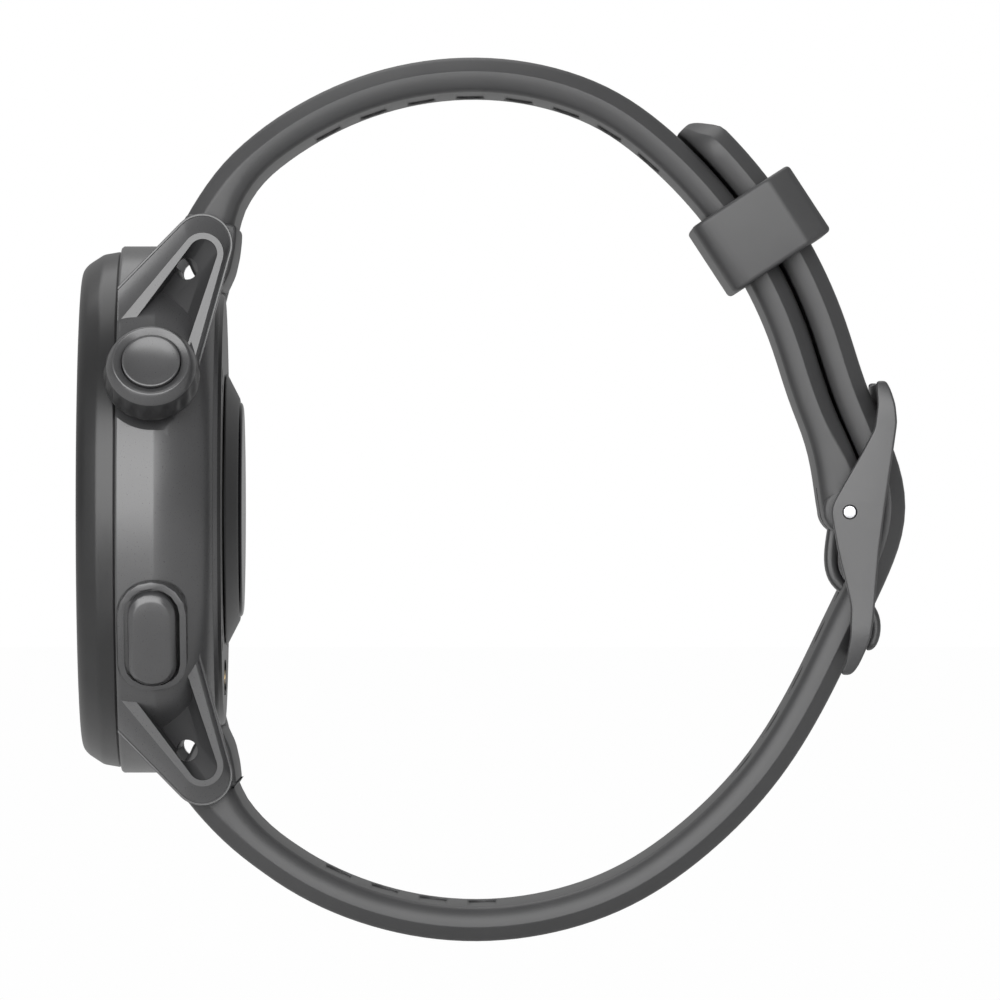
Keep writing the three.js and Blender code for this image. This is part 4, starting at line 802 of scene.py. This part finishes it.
# %% Lower strap half
lower_route = smooth_route(
    [
        (-2.822, -21.919), (-1.76, -23.219), (-0.442, -25.055), (1.529, -26.924),
        (4.596, -29.078), (10.563, -31.659), (18.325, -32.843), (24.11, -32.245),
        (30.094, -30.244), (36.087, -26.177), (41.469, -20.551), (45.222, -14.424),
        (47.528, -9.59), (49.726, -5.074), (51.399, -0.206), (50.75, 3.404), (49.141, 6.852),
        (47.801, 10.162), (46.684, 14.074), (45.173, 17.851), (43.284, 21.454),
        (41.037, 24.845), (38.454, 27.989), (35.564, 30.852),
    ]
)
last = len(lower_route) - 1
rings = []
tip_steps = [last - back for back in (3.5, 3, 2.5, 2, 1.5, 1.1, 0.8, 0.5, 0.3, 0.15, 0.05, 0)]
for step in list(range(last - 3)) + tip_steps:
    at, _, outward = station(lower_route, step, -1)
    to_tip = last - step
    narrow = 1 if to_tip > 4 else max(0.3, math.sqrt(max(0, 1 - ((4 - to_tip) / 4.4) ** 2.6)))
    thin = 1 - 0.42 * ease(4 - to_tip, 1.6, 4)
    if to_tip < 0.8:
        thin *= 0.55 + 0.45 * math.sqrt(1 - (1 - to_tip / 0.8) ** 2)
    base = strap_thickness(step) + heel(step)
    at = at + outward * (base * (thin - 1) - heel(step)) / 2
    rings.append(strap_section(at, outward, strap_width(step) * narrow, base * thin))
lower = grown(rings)
lower = carve(lower, end_block(lower_route, -1), "UNION")

# %% Adjusting holes, and the vents close to the case
hole_edge = ((-0.6, 0.3), (0, 0.2), (0.1, 0.07), (0.25, 0))
tongue_hole = 4
tongue_hole_at = 67.526
for index in range(12):
    distance = tongue_hole_at + hole_pitch * (index - tongue_hole)
    half = strap_thickness(distance) / 2
    levels = [(rise - half, grow) for rise, grow in hole_edge]
    levels += [(half - rise, grow) for rise, grow in reversed(hole_edge)]
    lower = carve(lower, cutter(lower_route, -1, distance, 1.9, 1.1, levels), "DIFFERENCE")
lower = vented(lower, lower_route, -1, 4)
strap_lower = finished(lower, "strap_lower", "watch", 30)
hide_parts("strap_6")


# %% [markdown]
# The buckle's frame is moulded in one piece: two tapering arms and the two bars between them.
# Each arm is a loft of level slices, so its ends can bend inwards to the bars as the real ones
# do, which a flat plate cut to the same outline could not. The bars are joined by Booleans.


# %% Buckle frame
buckle_reach = 10.25
arm_inside = [
    (-0.081, -1.256), (-0.035, -1.192), (0.006, -0.959), (0.012, -0.731), (-0.014, -0.608),
    (-0.091, -0.292), (-0.137, -0.036), (-0.14, 0.023), (-0.117, 0.087), (-0.073, 0.162),
    (0.094, 0.454), (0.192, 0.639), (0.216, 0.823), (0.208, 0.988),
]
arm_outside = [
    (0.022, -1.25), (0.07, -1.185), (0.122, -1.07), (0.165, -0.961), (0.186, -0.816),
    (0.207, -0.546), (0.23, -0.285), (0.27, 0.016), (0.318, 0.348), (0.366, 0.69),
    (0.352, 0.831), (0.315, 0.949), (0.28, 1.01),
]


def across_at(line, level):
    """Where a drawn edge lies at a level, averaged a little so that its corners are round."""
    total = 0
    for nudge in (-0.028, -0.014, 0, 0.014, 0.028):
        wanted = min(max(level + nudge, line[0][1]), line[-1][1])
        for (y0, z0), (y1, z1) in zip(line, line[1:]):
            if wanted <= z1:
                total += y0 + (y1 - y0) * (wanted - z0) / (z1 - z0)
                break
    return total / 5 * buckle_reach


def arm_face(level_mm):
    """How far out the arm's side face lies: it bends in towards both bars."""
    below = max(0, -9.1 - level_mm)
    above = max(0, level_mm - 7.6)
    return 12 - 0.09 * below**2 - 0.1 * above**2


arm_low = -1.256 * buckle_reach
arm_high = 1.01 * buckle_reach
end_low, end_high = 0.4, 0.25
straight = arm_high - arm_low - end_low - end_high
slices = [(arm_low + rise, inset) for rise, inset in quarter_round(end_low)]
slices += [(arm_low + end_low + straight * i / 60, 0) for i in range(1, 60)]
slices += [(arm_high - rise, inset) for rise, inset in reversed(quarter_round(end_high))]
arm_root = 10.35
arm_rings = []
for level, inset in slices:
    near = across_at(arm_inside, level / buckle_reach) + inset
    far = across_at(arm_outside, level / buckle_reach) - inset
    face = arm_face(level) - 0.8 * inset
    corners = [(arm_root, near, 0.08), (face, near, 0.2), (face, far, 0.2), (arm_root, far, 0.08)]
    line = rounded_line(corners, 3, True)
    arm_rings.append([(point.x, pin_y + point.y, pin_z + level) for point in line])


def cross_bar(outline):
    """A bar between the two arms, drawn in the side view round the pin."""
    line = rounded_line([(y, z, 0.18) for y, z in outline], 3, True)
    side = [(pin_y + point.x, pin_z + point.y) for point in line]
    return grown([[(x, y, z) for y, z in side] for x in (-10.5, 10.5)])


upper_bar = [
    (0.222, 0.82), (0.21, 0.93), (0.208, 0.985), (0.28, 1.01), (0.315, 0.949), (0.352, 0.831),
    (0.345, 0.78), (0.28, 0.76),
]
tilt = math.radians(65)
lower_bar = [
    (
        0.98 + y * math.cos(tilt) - z * math.sin(tilt),
        -10.7 + y * math.sin(tilt) + z * math.cos(tilt),
    )
    for y, z in ((-1.05, -0.33), (1.05, -0.33), (1.05, 0.33), (-1.05, 0.33))
]
pin_hole = 0.585
pin_place = Matrix.Translation((0, pin_y, pin_z)) @ Matrix.Rotation(-math.pi / 2, 4, "Z")
loop = grown(arm_rings)
other_arm = grown([[(-x, y, z) for x, y, z in ring] for ring in arm_rings])
loop = carve(loop, cross_bar([(y * buckle_reach, z * buckle_reach) for y, z in upper_bar]), "UNION")
loop = carve(loop, cross_bar(lower_bar), "UNION")
loop = carve(loop, other_arm, "UNION")
loop = carve(loop, drum(pin_hole, -13, 13, 48, pin_place), "DIFFERENCE")
buckle_loop = finished(loop, "buckle_loop", "buckle", 38)
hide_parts("buckle_frame")

# %% [markdown]
# The tongue is a bent bar. It turns on the buckle's pin, swings out in a round bow beside the
# strap, and passes through an adjusting hole to rest on the lower bar. It grows along that path
# as one rounded section, and its knuckle is a short turned barrel with the pin's hole in it.

# %% Buckle tongue
tongue_path = [
    (-0.085, -0.1), (-0.108, -0.25), (-0.117, -0.375), (-0.1, -0.485), (-0.045, -0.572),
    (0.06, -0.645), (0.155, -0.715), (0.215, -0.8), (0.233, -0.905), (0.213, -1.01),
    (0.165, -1.075),
]
tongue_line = smooth_route(
    [(pin_y + buckle_reach * y, pin_z + buckle_reach * z) for y, z in tongue_path], 0.35, 3
)
count = len(tongue_line) - 1
near_tip = [count - back for back in (2.4, 2, 1.6, 1.2, 0.85, 0.55, 0.3, 0.12, 0)]
tongue_rings = []
for step in list(range(count - 2)) + near_tip:
    at, _, outward = station(tongue_line, step, -1)
    travelled = step / count
    tip = math.sqrt(max(0.04, 1 - max(0, 1 - (count - step) / 2.2) ** 2))
    half = 1.2 * (1 - 0.25 * ease(travelled, 0.55, 0.95)) * tip
    deep = 0.55 * (1 - 0.14 * ease(travelled, 0.35, 0.5))
    deep *= 1 - 0.12 * ease(travelled, 0.6, 1)
    deep *= tip
    ring = []
    for i in range(24):
        turn = math.tau * i / 24
        x = math.copysign(abs(math.cos(turn)) ** 0.55, math.cos(turn)) * half
        n = math.copysign(abs(math.sin(turn)) ** 0.7, math.sin(turn)) * deep
        ring.append(at + outward * n + Vector((x, 0, 0)))
    tongue_rings.append(ring)
knuckle = drum(1.25, -1.2, 1.2, 48, pin_place)
round_rims(knuckle, 0.2)
tongue = carve(grown(tongue_rings), knuckle, "UNION")
tongue = carve(tongue, drum(pin_hole, -3, 3, 32, pin_place), "DIFFERENCE")
buckle_prong = finished(tongue, "buckle_prong", "tongue", 38)
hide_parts("buckle_tongue")

# %% [markdown]
# A small spring inside each strap bar pushes the release pin out. When a fingernail draws the
# pin's lever back, the spring shortens. Its coil is one grown wire.

# %% Springs in the strap bars
wire_radius = 0.08
coil_radius = 0.3
steps_a_turn = 20
coil_steps = 5 * steps_a_turn
strap_springs = []
for end, flip in (("12", 1), ("6", -1)):
    low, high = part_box("bar_spring_" + end)
    start = low[0] / MM + wire_radius
    length = (high[0] - low[0]) / MM - 2 * wire_radius
    coil_rings = []
    for i in range(coil_steps + 1):
        turn = math.tau * i / steps_a_turn
        out = Vector((0, math.cos(turn), math.sin(turn)))
        at = Vector((start + length * i / coil_steps, bar_y, bar_z * flip)) + out * coil_radius
        ring = []
        for j in range(8):
            around = math.tau * j / 8
            aside = Vector((wire_radius * math.sin(around), 0, 0))
            ring.append(at + out * wire_radius * math.cos(around) + aside)
        coil_rings.append(ring)
    strap_spring = finished(grown(coil_rings), "strap_spring_" + end, "watch", 60)
    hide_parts("bar_spring_" + end)
    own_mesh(strap_spring)
    print("spring", end, "is", round(length, 2), "mm long")
    strap_springs.append(strap_spring)


# %% [markdown]
# The keeper is a silicone loop round both strap halves. Its skin grows along the strap in small
# steps that round its two ends, outside and inside, and the two skins are bridged.


# %% Keeper
def shifted(outline, distance):
    """Moves every point of a closed outline inwards along its own normal."""
    moved = []
    for index, point in enumerate(outline):
        before = outline[index - 1]
        after = outline[(index + 1) % len(outline)]
        along = ((point - before).normalized() + (after - point).normalized()).normalized()
        moved.append(point + Vector((-along.y, along.x)) * distance)
    return moved


def with_mirror(side):
    """Closes half an outline with its own mirror image."""
    return side + [Vector((-point.x, point.y)) for point in reversed(side[1:-1])]


half_wide = 11.8
low = 33.635
high = 42.815
outer_side = rounded_line(
    [
        (0, low, 0),
        (half_wide, low, 1.9),
        (half_wide, high - 2.1, 0.3),
        (half_wide - 1.3, high, 0.6),
        (0, high, 0),
    ],
    6,
)
outer_line = with_mirror(outer_side)
inner_side = rounded_line(
    [
        (0, 35.035, 0), (10.4, 35.035, 0.9), (10.4, 41.415, 0.5), (0, 41.415, 0),
    ],
    6,
)
inner_line = with_mirror(inner_side)
keeper_turn = math.radians(33.2)
keeper_place = Matrix.Translation((0, 9.07, 1.22)) @ Matrix.Rotation(keeper_turn, 4, "X")
shaper = bmesh.new()
half_long = 3.1
for outline, direction, radius in ((outer_line, 1, 0.35), (inner_line, -1, 0.3)):
    steps = [(away - half_long, inset) for inset, away in quarter_round(radius)]
    skin = steps[::-1] + [(-height, inset) for height, inset in steps]
    rings = []
    for height, inset in skin:
        line = shifted(outline, inset * direction)
        rings.append([(point.x, point.y, height) for point in line])
    part = grown(rings)
    caps = [face for face in part.faces if len(face.verts) > 4]
    bmesh.ops.delete(part, geom=caps, context="FACES_ONLY")
    skin_mesh = bpy.data.meshes.new("skin")
    part.to_mesh(skin_mesh)
    part.free()
    shaper.from_mesh(skin_mesh)
    bpy.data.meshes.remove(skin_mesh)
for end in (-1, 1):
    rim = [
        edge
        for edge in shaper.edges
        if edge.is_boundary and edge.verts[0].co.z * end > 0 and edge.verts[1].co.z * end > 0
    ]
    bmesh.ops.bridge_loops(shaper, edges=rim)
strap_keeper = finished(placed(shaper, keeper_place), "strap_keeper", "keeper_loop", 30)
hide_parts("keeper")

# %% [markdown]
# Black plastics and one silicone make up the outside. They differ mostly in how they scatter
# light: the case is an even satin, the bezel darker with a fine grain, the strap soft. One
# recipe makes them all, and the metals too: a faint cloud of two shades, an even gloss, and a
# grain too fine to see but for how it breaks up a highlight.


# %% Material helpers
def new_material(name):
    material = bpy.data.materials.new(name)
    material.use_nodes = True
    material.node_tree.nodes.clear()
    tree = material.node_tree
    output = tree.nodes.new("ShaderNodeOutputMaterial")
    shader = tree.nodes.new("ShaderNodeBsdfPrincipled")
    tree.links.new(shader.outputs["BSDF"], output.inputs["Surface"])
    return material, tree, shader


def object_noise(tree, scale, detail=2, roughness=0.5):
    coordinates = tree.nodes.new("ShaderNodeTexCoord")
    noise = tree.nodes.new("ShaderNodeTexNoise")
    noise.inputs["Scale"].default_value = scale
    noise.inputs["Detail"].default_value = detail
    noise.inputs["Roughness"].default_value = roughness
    tree.links.new(coordinates.outputs["Object"], noise.inputs["Vector"])
    return noise.outputs["Fac"]


def span(tree, value, low, high, start=0, end=1):
    """Maps a value that runs from start to end onto low to high, and holds it there."""
    remap = tree.nodes.new("ShaderNodeMapRange")
    limits = {"From Min": start, "From Max": end, "To Min": low, "To Max": high}
    for socket, number in limits.items():
        remap.inputs[socket].default_value = number
    tree.links.new(value, remap.inputs["Value"])
    return remap.outputs["Result"]


def tint(tree, value, dark, light):
    ramp = tree.nodes.new("ShaderNodeValToRGB")
    ramp.color_ramp.elements[0].position = 0.3
    ramp.color_ramp.elements[0].color = (*dark, 1)
    ramp.color_ramp.elements[1].position = 0.7
    ramp.color_ramp.elements[1].color = (*light, 1)
    tree.links.new(value, ramp.inputs["Fac"])
    return ramp.outputs["Color"]


def grain_bump(tree, shader, value, distance_mm):
    bump = tree.nodes.new("ShaderNodeBump")
    bump.inputs["Strength"].default_value = 0.5
    bump.inputs["Distance"].default_value = distance_mm * MM
    tree.links.new(value, bump.inputs["Height"])
    tree.links.new(bump.outputs["Normal"], shader.inputs["Normal"])


def grained(name, shades, roughness, grain_scale, grain_mm, metallic=0, specular=0.5, ior=1.5):
    """A plain finish: a faint cloud of two shades, and a grain that stirs gloss and surface."""
    material, tree, shader = new_material(name)
    cloud = object_noise(tree, 260)
    grain = object_noise(tree, grain_scale, 4, 0.65)
    gloss = span(tree, grain, roughness - 0.02, roughness + 0.02)
    tree.links.new(tint(tree, cloud, *shades), shader.inputs["Base Color"])
    tree.links.new(gloss, shader.inputs["Roughness"])
    shader.inputs["Metallic"].default_value = metallic
    shader.inputs["Specular IOR Level"].default_value = specular
    shader.inputs["IOR"].default_value = ior
    grain_bump(tree, shader, grain, grain_mm)
    return material


# %% Materials
case_black = ((0.05, 0.05, 0.0515), (0.056, 0.056, 0.0575))
recipes = (
    ("case_polymer", case_black, 0.28, 9000, 0.0007, 0, 1.0, 1.55),
    # The lugs' hollows: a matt finish, darker than the case, which paints shade into them.
    ("pocket_shade_polymer", ((0.03, 0.03, 0.031), (0.034, 0.034, 0.035)), 0.6, 9000, 0.003, 0, 0.3),
    ("grip_polymer", ((0.02, 0.02, 0.0208), (0.024, 0.024, 0.0248)), 0.38, 9000, 0.002, 0, 0.45),
    ("buckle_polymer", case_black, 0.36, 9000, 0.003, 0, 0.8),
    ("bezel_polymer", ((0.014, 0.014, 0.0145), (0.018, 0.018, 0.0185)), 0.3, 7000, 0.001, 0, 0.7),
    ("silicone", ((0.05, 0.05, 0.0512), (0.056, 0.056, 0.0572)), 0.42, 12000, 0.003, 0, 0.6),
    ("steel", ((0.58, 0.58, 0.6), (0.66, 0.66, 0.68)), 0.3, 16000, 0.002, 1),
    ("dark_steel", ((0.1, 0.1, 0.104), (0.13, 0.13, 0.134)), 0.38, 14000, 0.003, 0.8),
    ("seal_rubber", ((0.012, 0.012, 0.012), (0.018, 0.018, 0.018)), 0.7, 9000, 0.006),
    ("solder_mask", ((0.012, 0.07, 0.03), (0.018, 0.1, 0.045)), 0.4, 3000, 0.004),
    ("cell_wrap", ((0.03, 0.035, 0.05), (0.04, 0.045, 0.06)), 0.35, 2000, 0.01),
    ("contact_gold", ((0.7, 0.48, 0.18), (0.8, 0.58, 0.26)), 0.25, 15000, 0.001, 1),
    ("sensor_plastic", ((0.014, 0.014, 0.015), (0.019, 0.019, 0.02)), 0.35, 9000, 0.004),
    ("screen_black", ((0.004, 0.004, 0.005), (0.007, 0.007, 0.008)), 0.15, 3000, 0.0005),
    ("dark_glass", ((0.005, 0.005, 0.006), (0.007, 0.007, 0.008)), 0.12, 4000, 0.0004),
)
finishes = {name: grained(name, *values) for name, *values in recipes}
print("plain finishes:", len(finishes))

# %% [markdown]
# Two glasses have something printed on their inner side: the sensor's window shows lamps and
# light sensors, and the front glass a ring of ticks. An image would tie them to a picture file,
# so masks are worked out from each point's place on the object: its distance from a few spots,
# or from the nearest of evenly spaced radial lines.


# %% Masks for what is printed on glass
def reckon(tree, operation, first, second=0):
    """One Math node, on numbers or on sockets."""
    node = tree.nodes.new("ShaderNodeMath")
    node.operation = operation
    for socket, value in zip(node.inputs, (first, second)):
        if isinstance(value, bpy.types.NodeSocket):
            tree.links.new(value, socket)
        else:
            socket.default_value = value
    return node.outputs["Value"]


def within(tree, value, limit_mm, edge_mm):
    """1 where a length is under the limit, and 0 past it. A negative edge turns that round."""
    return span(tree, value, 0, 1, (limit_mm + edge_mm) * MM, (limit_mm - edge_mm) * MM)


def face_place(tree):
    """The X and Z of a point on the object, which is its place on the dial."""
    coordinates = tree.nodes.new("ShaderNodeTexCoord")
    parts = tree.nodes.new("ShaderNodeSeparateXYZ")
    tree.links.new(coordinates.outputs["Object"], parts.inputs["Vector"])
    return parts.outputs["X"], parts.outputs["Z"]


def spots(tree, places, radius_mm, edge_mm=0.04):
    """A mask that is 1 inside circles round (x, z) places in millimetres, on any depth."""
    flat = tree.nodes.new("ShaderNodeCombineXYZ")
    for socket, value in zip(("X", "Z"), face_place(tree)):
        tree.links.new(value, flat.inputs[socket])
    total = None
    for x, z in places:
        away = tree.nodes.new("ShaderNodeVectorMath")
        away.operation = "DISTANCE"
        away.inputs[1].default_value = (x * MM, 0, z * MM)
        tree.links.new(flat.outputs["Vector"], away.inputs[0])
        spot = within(tree, away.outputs["Value"], radius_mm, edge_mm)
        total = spot if total is None else reckon(tree, "MAXIMUM", total, spot)
    return total


def ticks(tree, count, inner_mm, outer_mm, half_width_mm):
    """A mask of short radial lines, evenly spaced round the dial."""
    x, z = face_place(tree)
    squares = reckon(tree, "ADD", reckon(tree, "MULTIPLY", x, x), reckon(tree, "MULTIPLY", z, z))
    radius = reckon(tree, "SQRT", squares)
    turn = reckon(tree, "PINGPONG", reckon(tree, "ARCTAN2", x, z), math.pi / count)
    line = within(tree, reckon(tree, "MULTIPLY", turn, radius), half_width_mm, 0.02)
    outer = within(tree, radius, outer_mm, 0.02)
    inner = within(tree, radius, inner_mm, -0.02)
    return reckon(tree, "MULTIPLY", line, reckon(tree, "MULTIPLY", outer, inner))


def printed(tree, under, mask, colour):
    """Lays one colour over another through a mask."""
    mix = tree.nodes.new("ShaderNodeMix")
    mix.data_type = "RGBA"
    mix.inputs["B"].default_value = (*colour, 1)
    tree.links.new(mask, mix.inputs["Factor"])
    tree.links.new(under, mix.inputs["A"])
    return mix.outputs["Result"]


def round_places(count, radius, first_deg=0):
    turns = [math.radians(first_deg + 360 * i / count) for i in range(count)]
    return [(radius * math.cos(turn), radius * math.sin(turn)) for turn in turns]


# %% Glass over the sensor
prints = (
    ([(0, 0)], 7.2, 0.06, (0.012, 0.012, 0.013)),
    (round_places(4, 4.6, 45), 1.25, 0.04, (0.03, 0.028, 0.03)),
    (round_places(4, 4.6, 45), 0.95, 0.04, (0.075, 0.06, 0.05)),
    ([(0, 0)], 1.5, 0.04, (0.03, 0.03, 0.032)),
    ([(-0.55, 0), (0.55, 0)], 0.4, 0.04, (0.03, 0.19, 0.06)),
    (round_places(2, 4.6), 0.55, 0.04, (0.16, 0.03, 0.025)),
)
glass_shades = ((0.004, 0.004, 0.005), (0.006, 0.006, 0.007))
finishes["sensor_glass"], tree, shader = new_material("sensor_glass")
colour = tint(tree, object_noise(tree, 400), *glass_shades)
for places, radius, edge, ink in prints:
    colour = printed(tree, colour, spots(tree, places, radius, edge), ink)
tree.links.new(colour, shader.inputs["Base Color"])
shader.inputs["Roughness"].default_value = 0.12
shader.inputs["Specular IOR Level"].default_value = 0.12
print("sensor window has", len(prints), "prints")

# %% Print under the front glass
finishes["face_print"], tree, shader = new_material("face_print")
colour = tint(tree, object_noise(tree, 300), *glass_shades)
colour = printed(tree, colour, spots(tree, [(0, 0)], 15.1), (0.009, 0.0095, 0.0105))
colour = printed(tree, colour, ticks(tree, 60, 16.1, 16.7, 0.06), (0.18, 0.18, 0.185))
colour = printed(tree, colour, ticks(tree, 12, 15.6, 16.7, 0.17), (0.5, 0.5, 0.5))
tree.links.new(colour, shader.inputs["Base Color"])
shader.inputs["Roughness"].default_value = 0.05
print("dial has a ring of 60 ticks")

# %% [markdown]
# The CAD record names a material slot for each node. Most slots have a finish of the same name,
# and five go by another. Every new piece gets its finish by name. Two pieces have a second one, on
# faces marked while they were made: the case in its lugs' hollows, a darker matt finish that paints
# shade there, and the crown on its grip.

# %% Give every node and every piece its material
slot_finish = {
    "soft_seal": "seal_rubber",
    "circuit": "solder_mask",
    "brass": "contact_gold",
    "sensor_polymer": "sensor_plastic",
    "screen": "screen_black",
}
for part in frame["record"]["subparts"]:
    slot = part["material_slot"]
    node = nodes[part["node"]]
    node.data.materials.clear()
    node.data.materials.append(finishes[slot_finish.get(slot, slot)])
for finish, pieces in (
    ("case_polymer", [case_shell, crown_drum, crown_dish, button_pill]),
    ("bezel_polymer", [bezel]),
    ("sensor_glass", [sensor_eye]),
    ("face_print", [front_glass]),
    ("silicone", [strap_upper, strap_lower, strap_keeper]),
    ("buckle_polymer", [buckle_loop, buckle_prong]),
    ("steel", strap_springs),
):
    for made in pieces:
        made.data.materials.append(finishes[finish])
# The lugs' hollows take a darker matt finish, which paints shade into them.
case_shell.data.materials.append(finishes["pocket_shade_polymer"])
crown_drum.data.materials.append(finishes["grip_polymer"])
bpy.data.materials.remove(first_finish)
bpy.data.materials.remove(second_finish)
print("materials on", len(nodes), "nodes")

# %% [markdown]
# The watch hangs just over a pale floor, one plain square. To the camera the floor glows almost
# pure white, as paper under strong light does. Reflections see only a little of that glow, and
# to all other light the floor is an ordinary glossy pale surface.


# %% Floor
def blended(tree, share, first, second):
    """Mixes two shaders: a share of 0 gives the first, and 1 the second."""
    mix = tree.nodes.new("ShaderNodeMixShader")
    for socket, source in zip(mix.inputs, (share, first, second)):
        tree.links.new(source, socket)
    return mix.outputs["Shader"]


floor_mesh = bpy.data.meshes.new("floor")
shaper = bmesh.new()
bmesh.ops.create_grid(shaper, x_segments=1, y_segments=1, size=3)
shaper.to_mesh(floor_mesh)
shaper.free()
floor = bpy.data.objects.new("floor", floor_mesh)
floor.location.z = cad_box[0][2] - 0.012
bpy.context.collection.objects.link(floor)
floor_white, tree, shader = new_material("floor_white")
for socket, value in (
    ("Base Color", (0.75, 0.75, 0.75, 1)),
    ("Roughness", 0.15),
    ("Specular IOR Level", 1),
    ("Coat Weight", 1),
    ("Coat Roughness", 0.15),
):
    shader.inputs[socket].default_value = value
paper = tree.nodes.new("ShaderNodeEmission")
paper.inputs["Strength"].default_value = 1
rays = tree.nodes.new("ShaderNodeLightPath").outputs
in_gloss = reckon(tree, "MULTIPLY", rays["Is Glossy Ray"], 0.15)
seen = reckon(tree, "MAXIMUM", rays["Is Camera Ray"], in_gloss)
share = reckon(tree, "MULTIPLY", seen, 0.985)
both = blended(tree, share, shader.outputs["BSDF"], paper.outputs["Emission"])
output = next(node for node in tree.nodes if node.type == "OUTPUT_MATERIAL")
tree.links.new(both, output.inputs["Surface"])
floor.data.materials.append(floor_white)
print("floor lies at z =", round(floor.location.z, 4), "m")

# %% [markdown]
# The world is white where the camera sees it, and where glass shows it through. Reflections see
# the white backdrop only in the half of the room behind the watch. The half in front of it is a
# darker room, in which the softbox is the one bright thing, so edges and slopes read clearly.

# %% World
world = bpy.data.worlds.new("studio")
bpy.context.scene.world = world
world.use_nodes = True
tree = world.node_tree
tree.nodes.clear()


def white_light(strength):
    """An even white of one strength."""
    background = tree.nodes.new("ShaderNodeBackground")
    background.inputs["Color"].default_value = (1, 1, 1, 1)
    background.inputs["Strength"].default_value = strength
    return background.outputs["Background"]


direction = tree.nodes.new("ShaderNodeTexCoord")
parts = tree.nodes.new("ShaderNodeSeparateXYZ")
tree.links.new(direction.outputs["Generated"], parts.inputs["Vector"])
rays = tree.nodes.new("ShaderNodeLightPath").outputs
behind = span(tree, parts.outputs["X"], 0, 0.15, -0.15, -0.6)
in_gloss = reckon(tree, "MULTIPLY", behind, rays["Is Glossy Ray"])
seen = reckon(tree, "MAXIMUM", rays["Is Camera Ray"], rays["Is Transmission Ray"])
share = reckon(tree, "MAXIMUM", seen, in_gloss)
room = blended(tree, share, white_light(0.28), white_light(1))
world_output = tree.nodes.new("ShaderNodeOutputWorld")
tree.links.new(room, world_output.inputs["Surface"])
print("world has", len(tree.nodes), "nodes")


# %% [markdown]
# A large softbox behind the camera and above it draws the broad highlight along the case. A
# weaker one on the far side keeps the other views readable. Area lamps give soft edges, as the
# studio's boxes do, and their power is worked out from a radiance, so a size can change alone.


# %% Lamps
def softbox(name, azimuth_deg, elevation_deg, distance, width, height, radiance):
    """A rectangular lamp aimed at the watch. Azimuth 0 is the camera's side."""
    azimuth = math.radians(azimuth_deg)
    elevation = math.radians(elevation_deg)
    middle = Vector((0, 0.02, 0))
    flat = math.cos(elevation)
    way = Vector((flat * math.cos(azimuth), flat * math.sin(azimuth), math.sin(elevation)))
    data = bpy.data.lights.new(name, "AREA")
    data.shape = "RECTANGLE"
    data.size = width
    data.size_y = height
    data.energy = radiance * math.pi * width * height
    made = bpy.data.objects.new(name, data)
    made.location = middle + way * distance
    made.rotation_euler = (-way).to_track_quat("-Z", "Y").to_euler()
    bpy.context.collection.objects.link(made)
    print(name, "gives", round(data.energy, 1), "W")


softbox("key_softbox", -14, 20, 1.2, 2.3, 1.05, 3.0)
softbox("far_fill", 200, 62, 1.2, 0.9, 0.9, 1.2)
bpy.context.scene.view_settings.view_transform = "Standard"
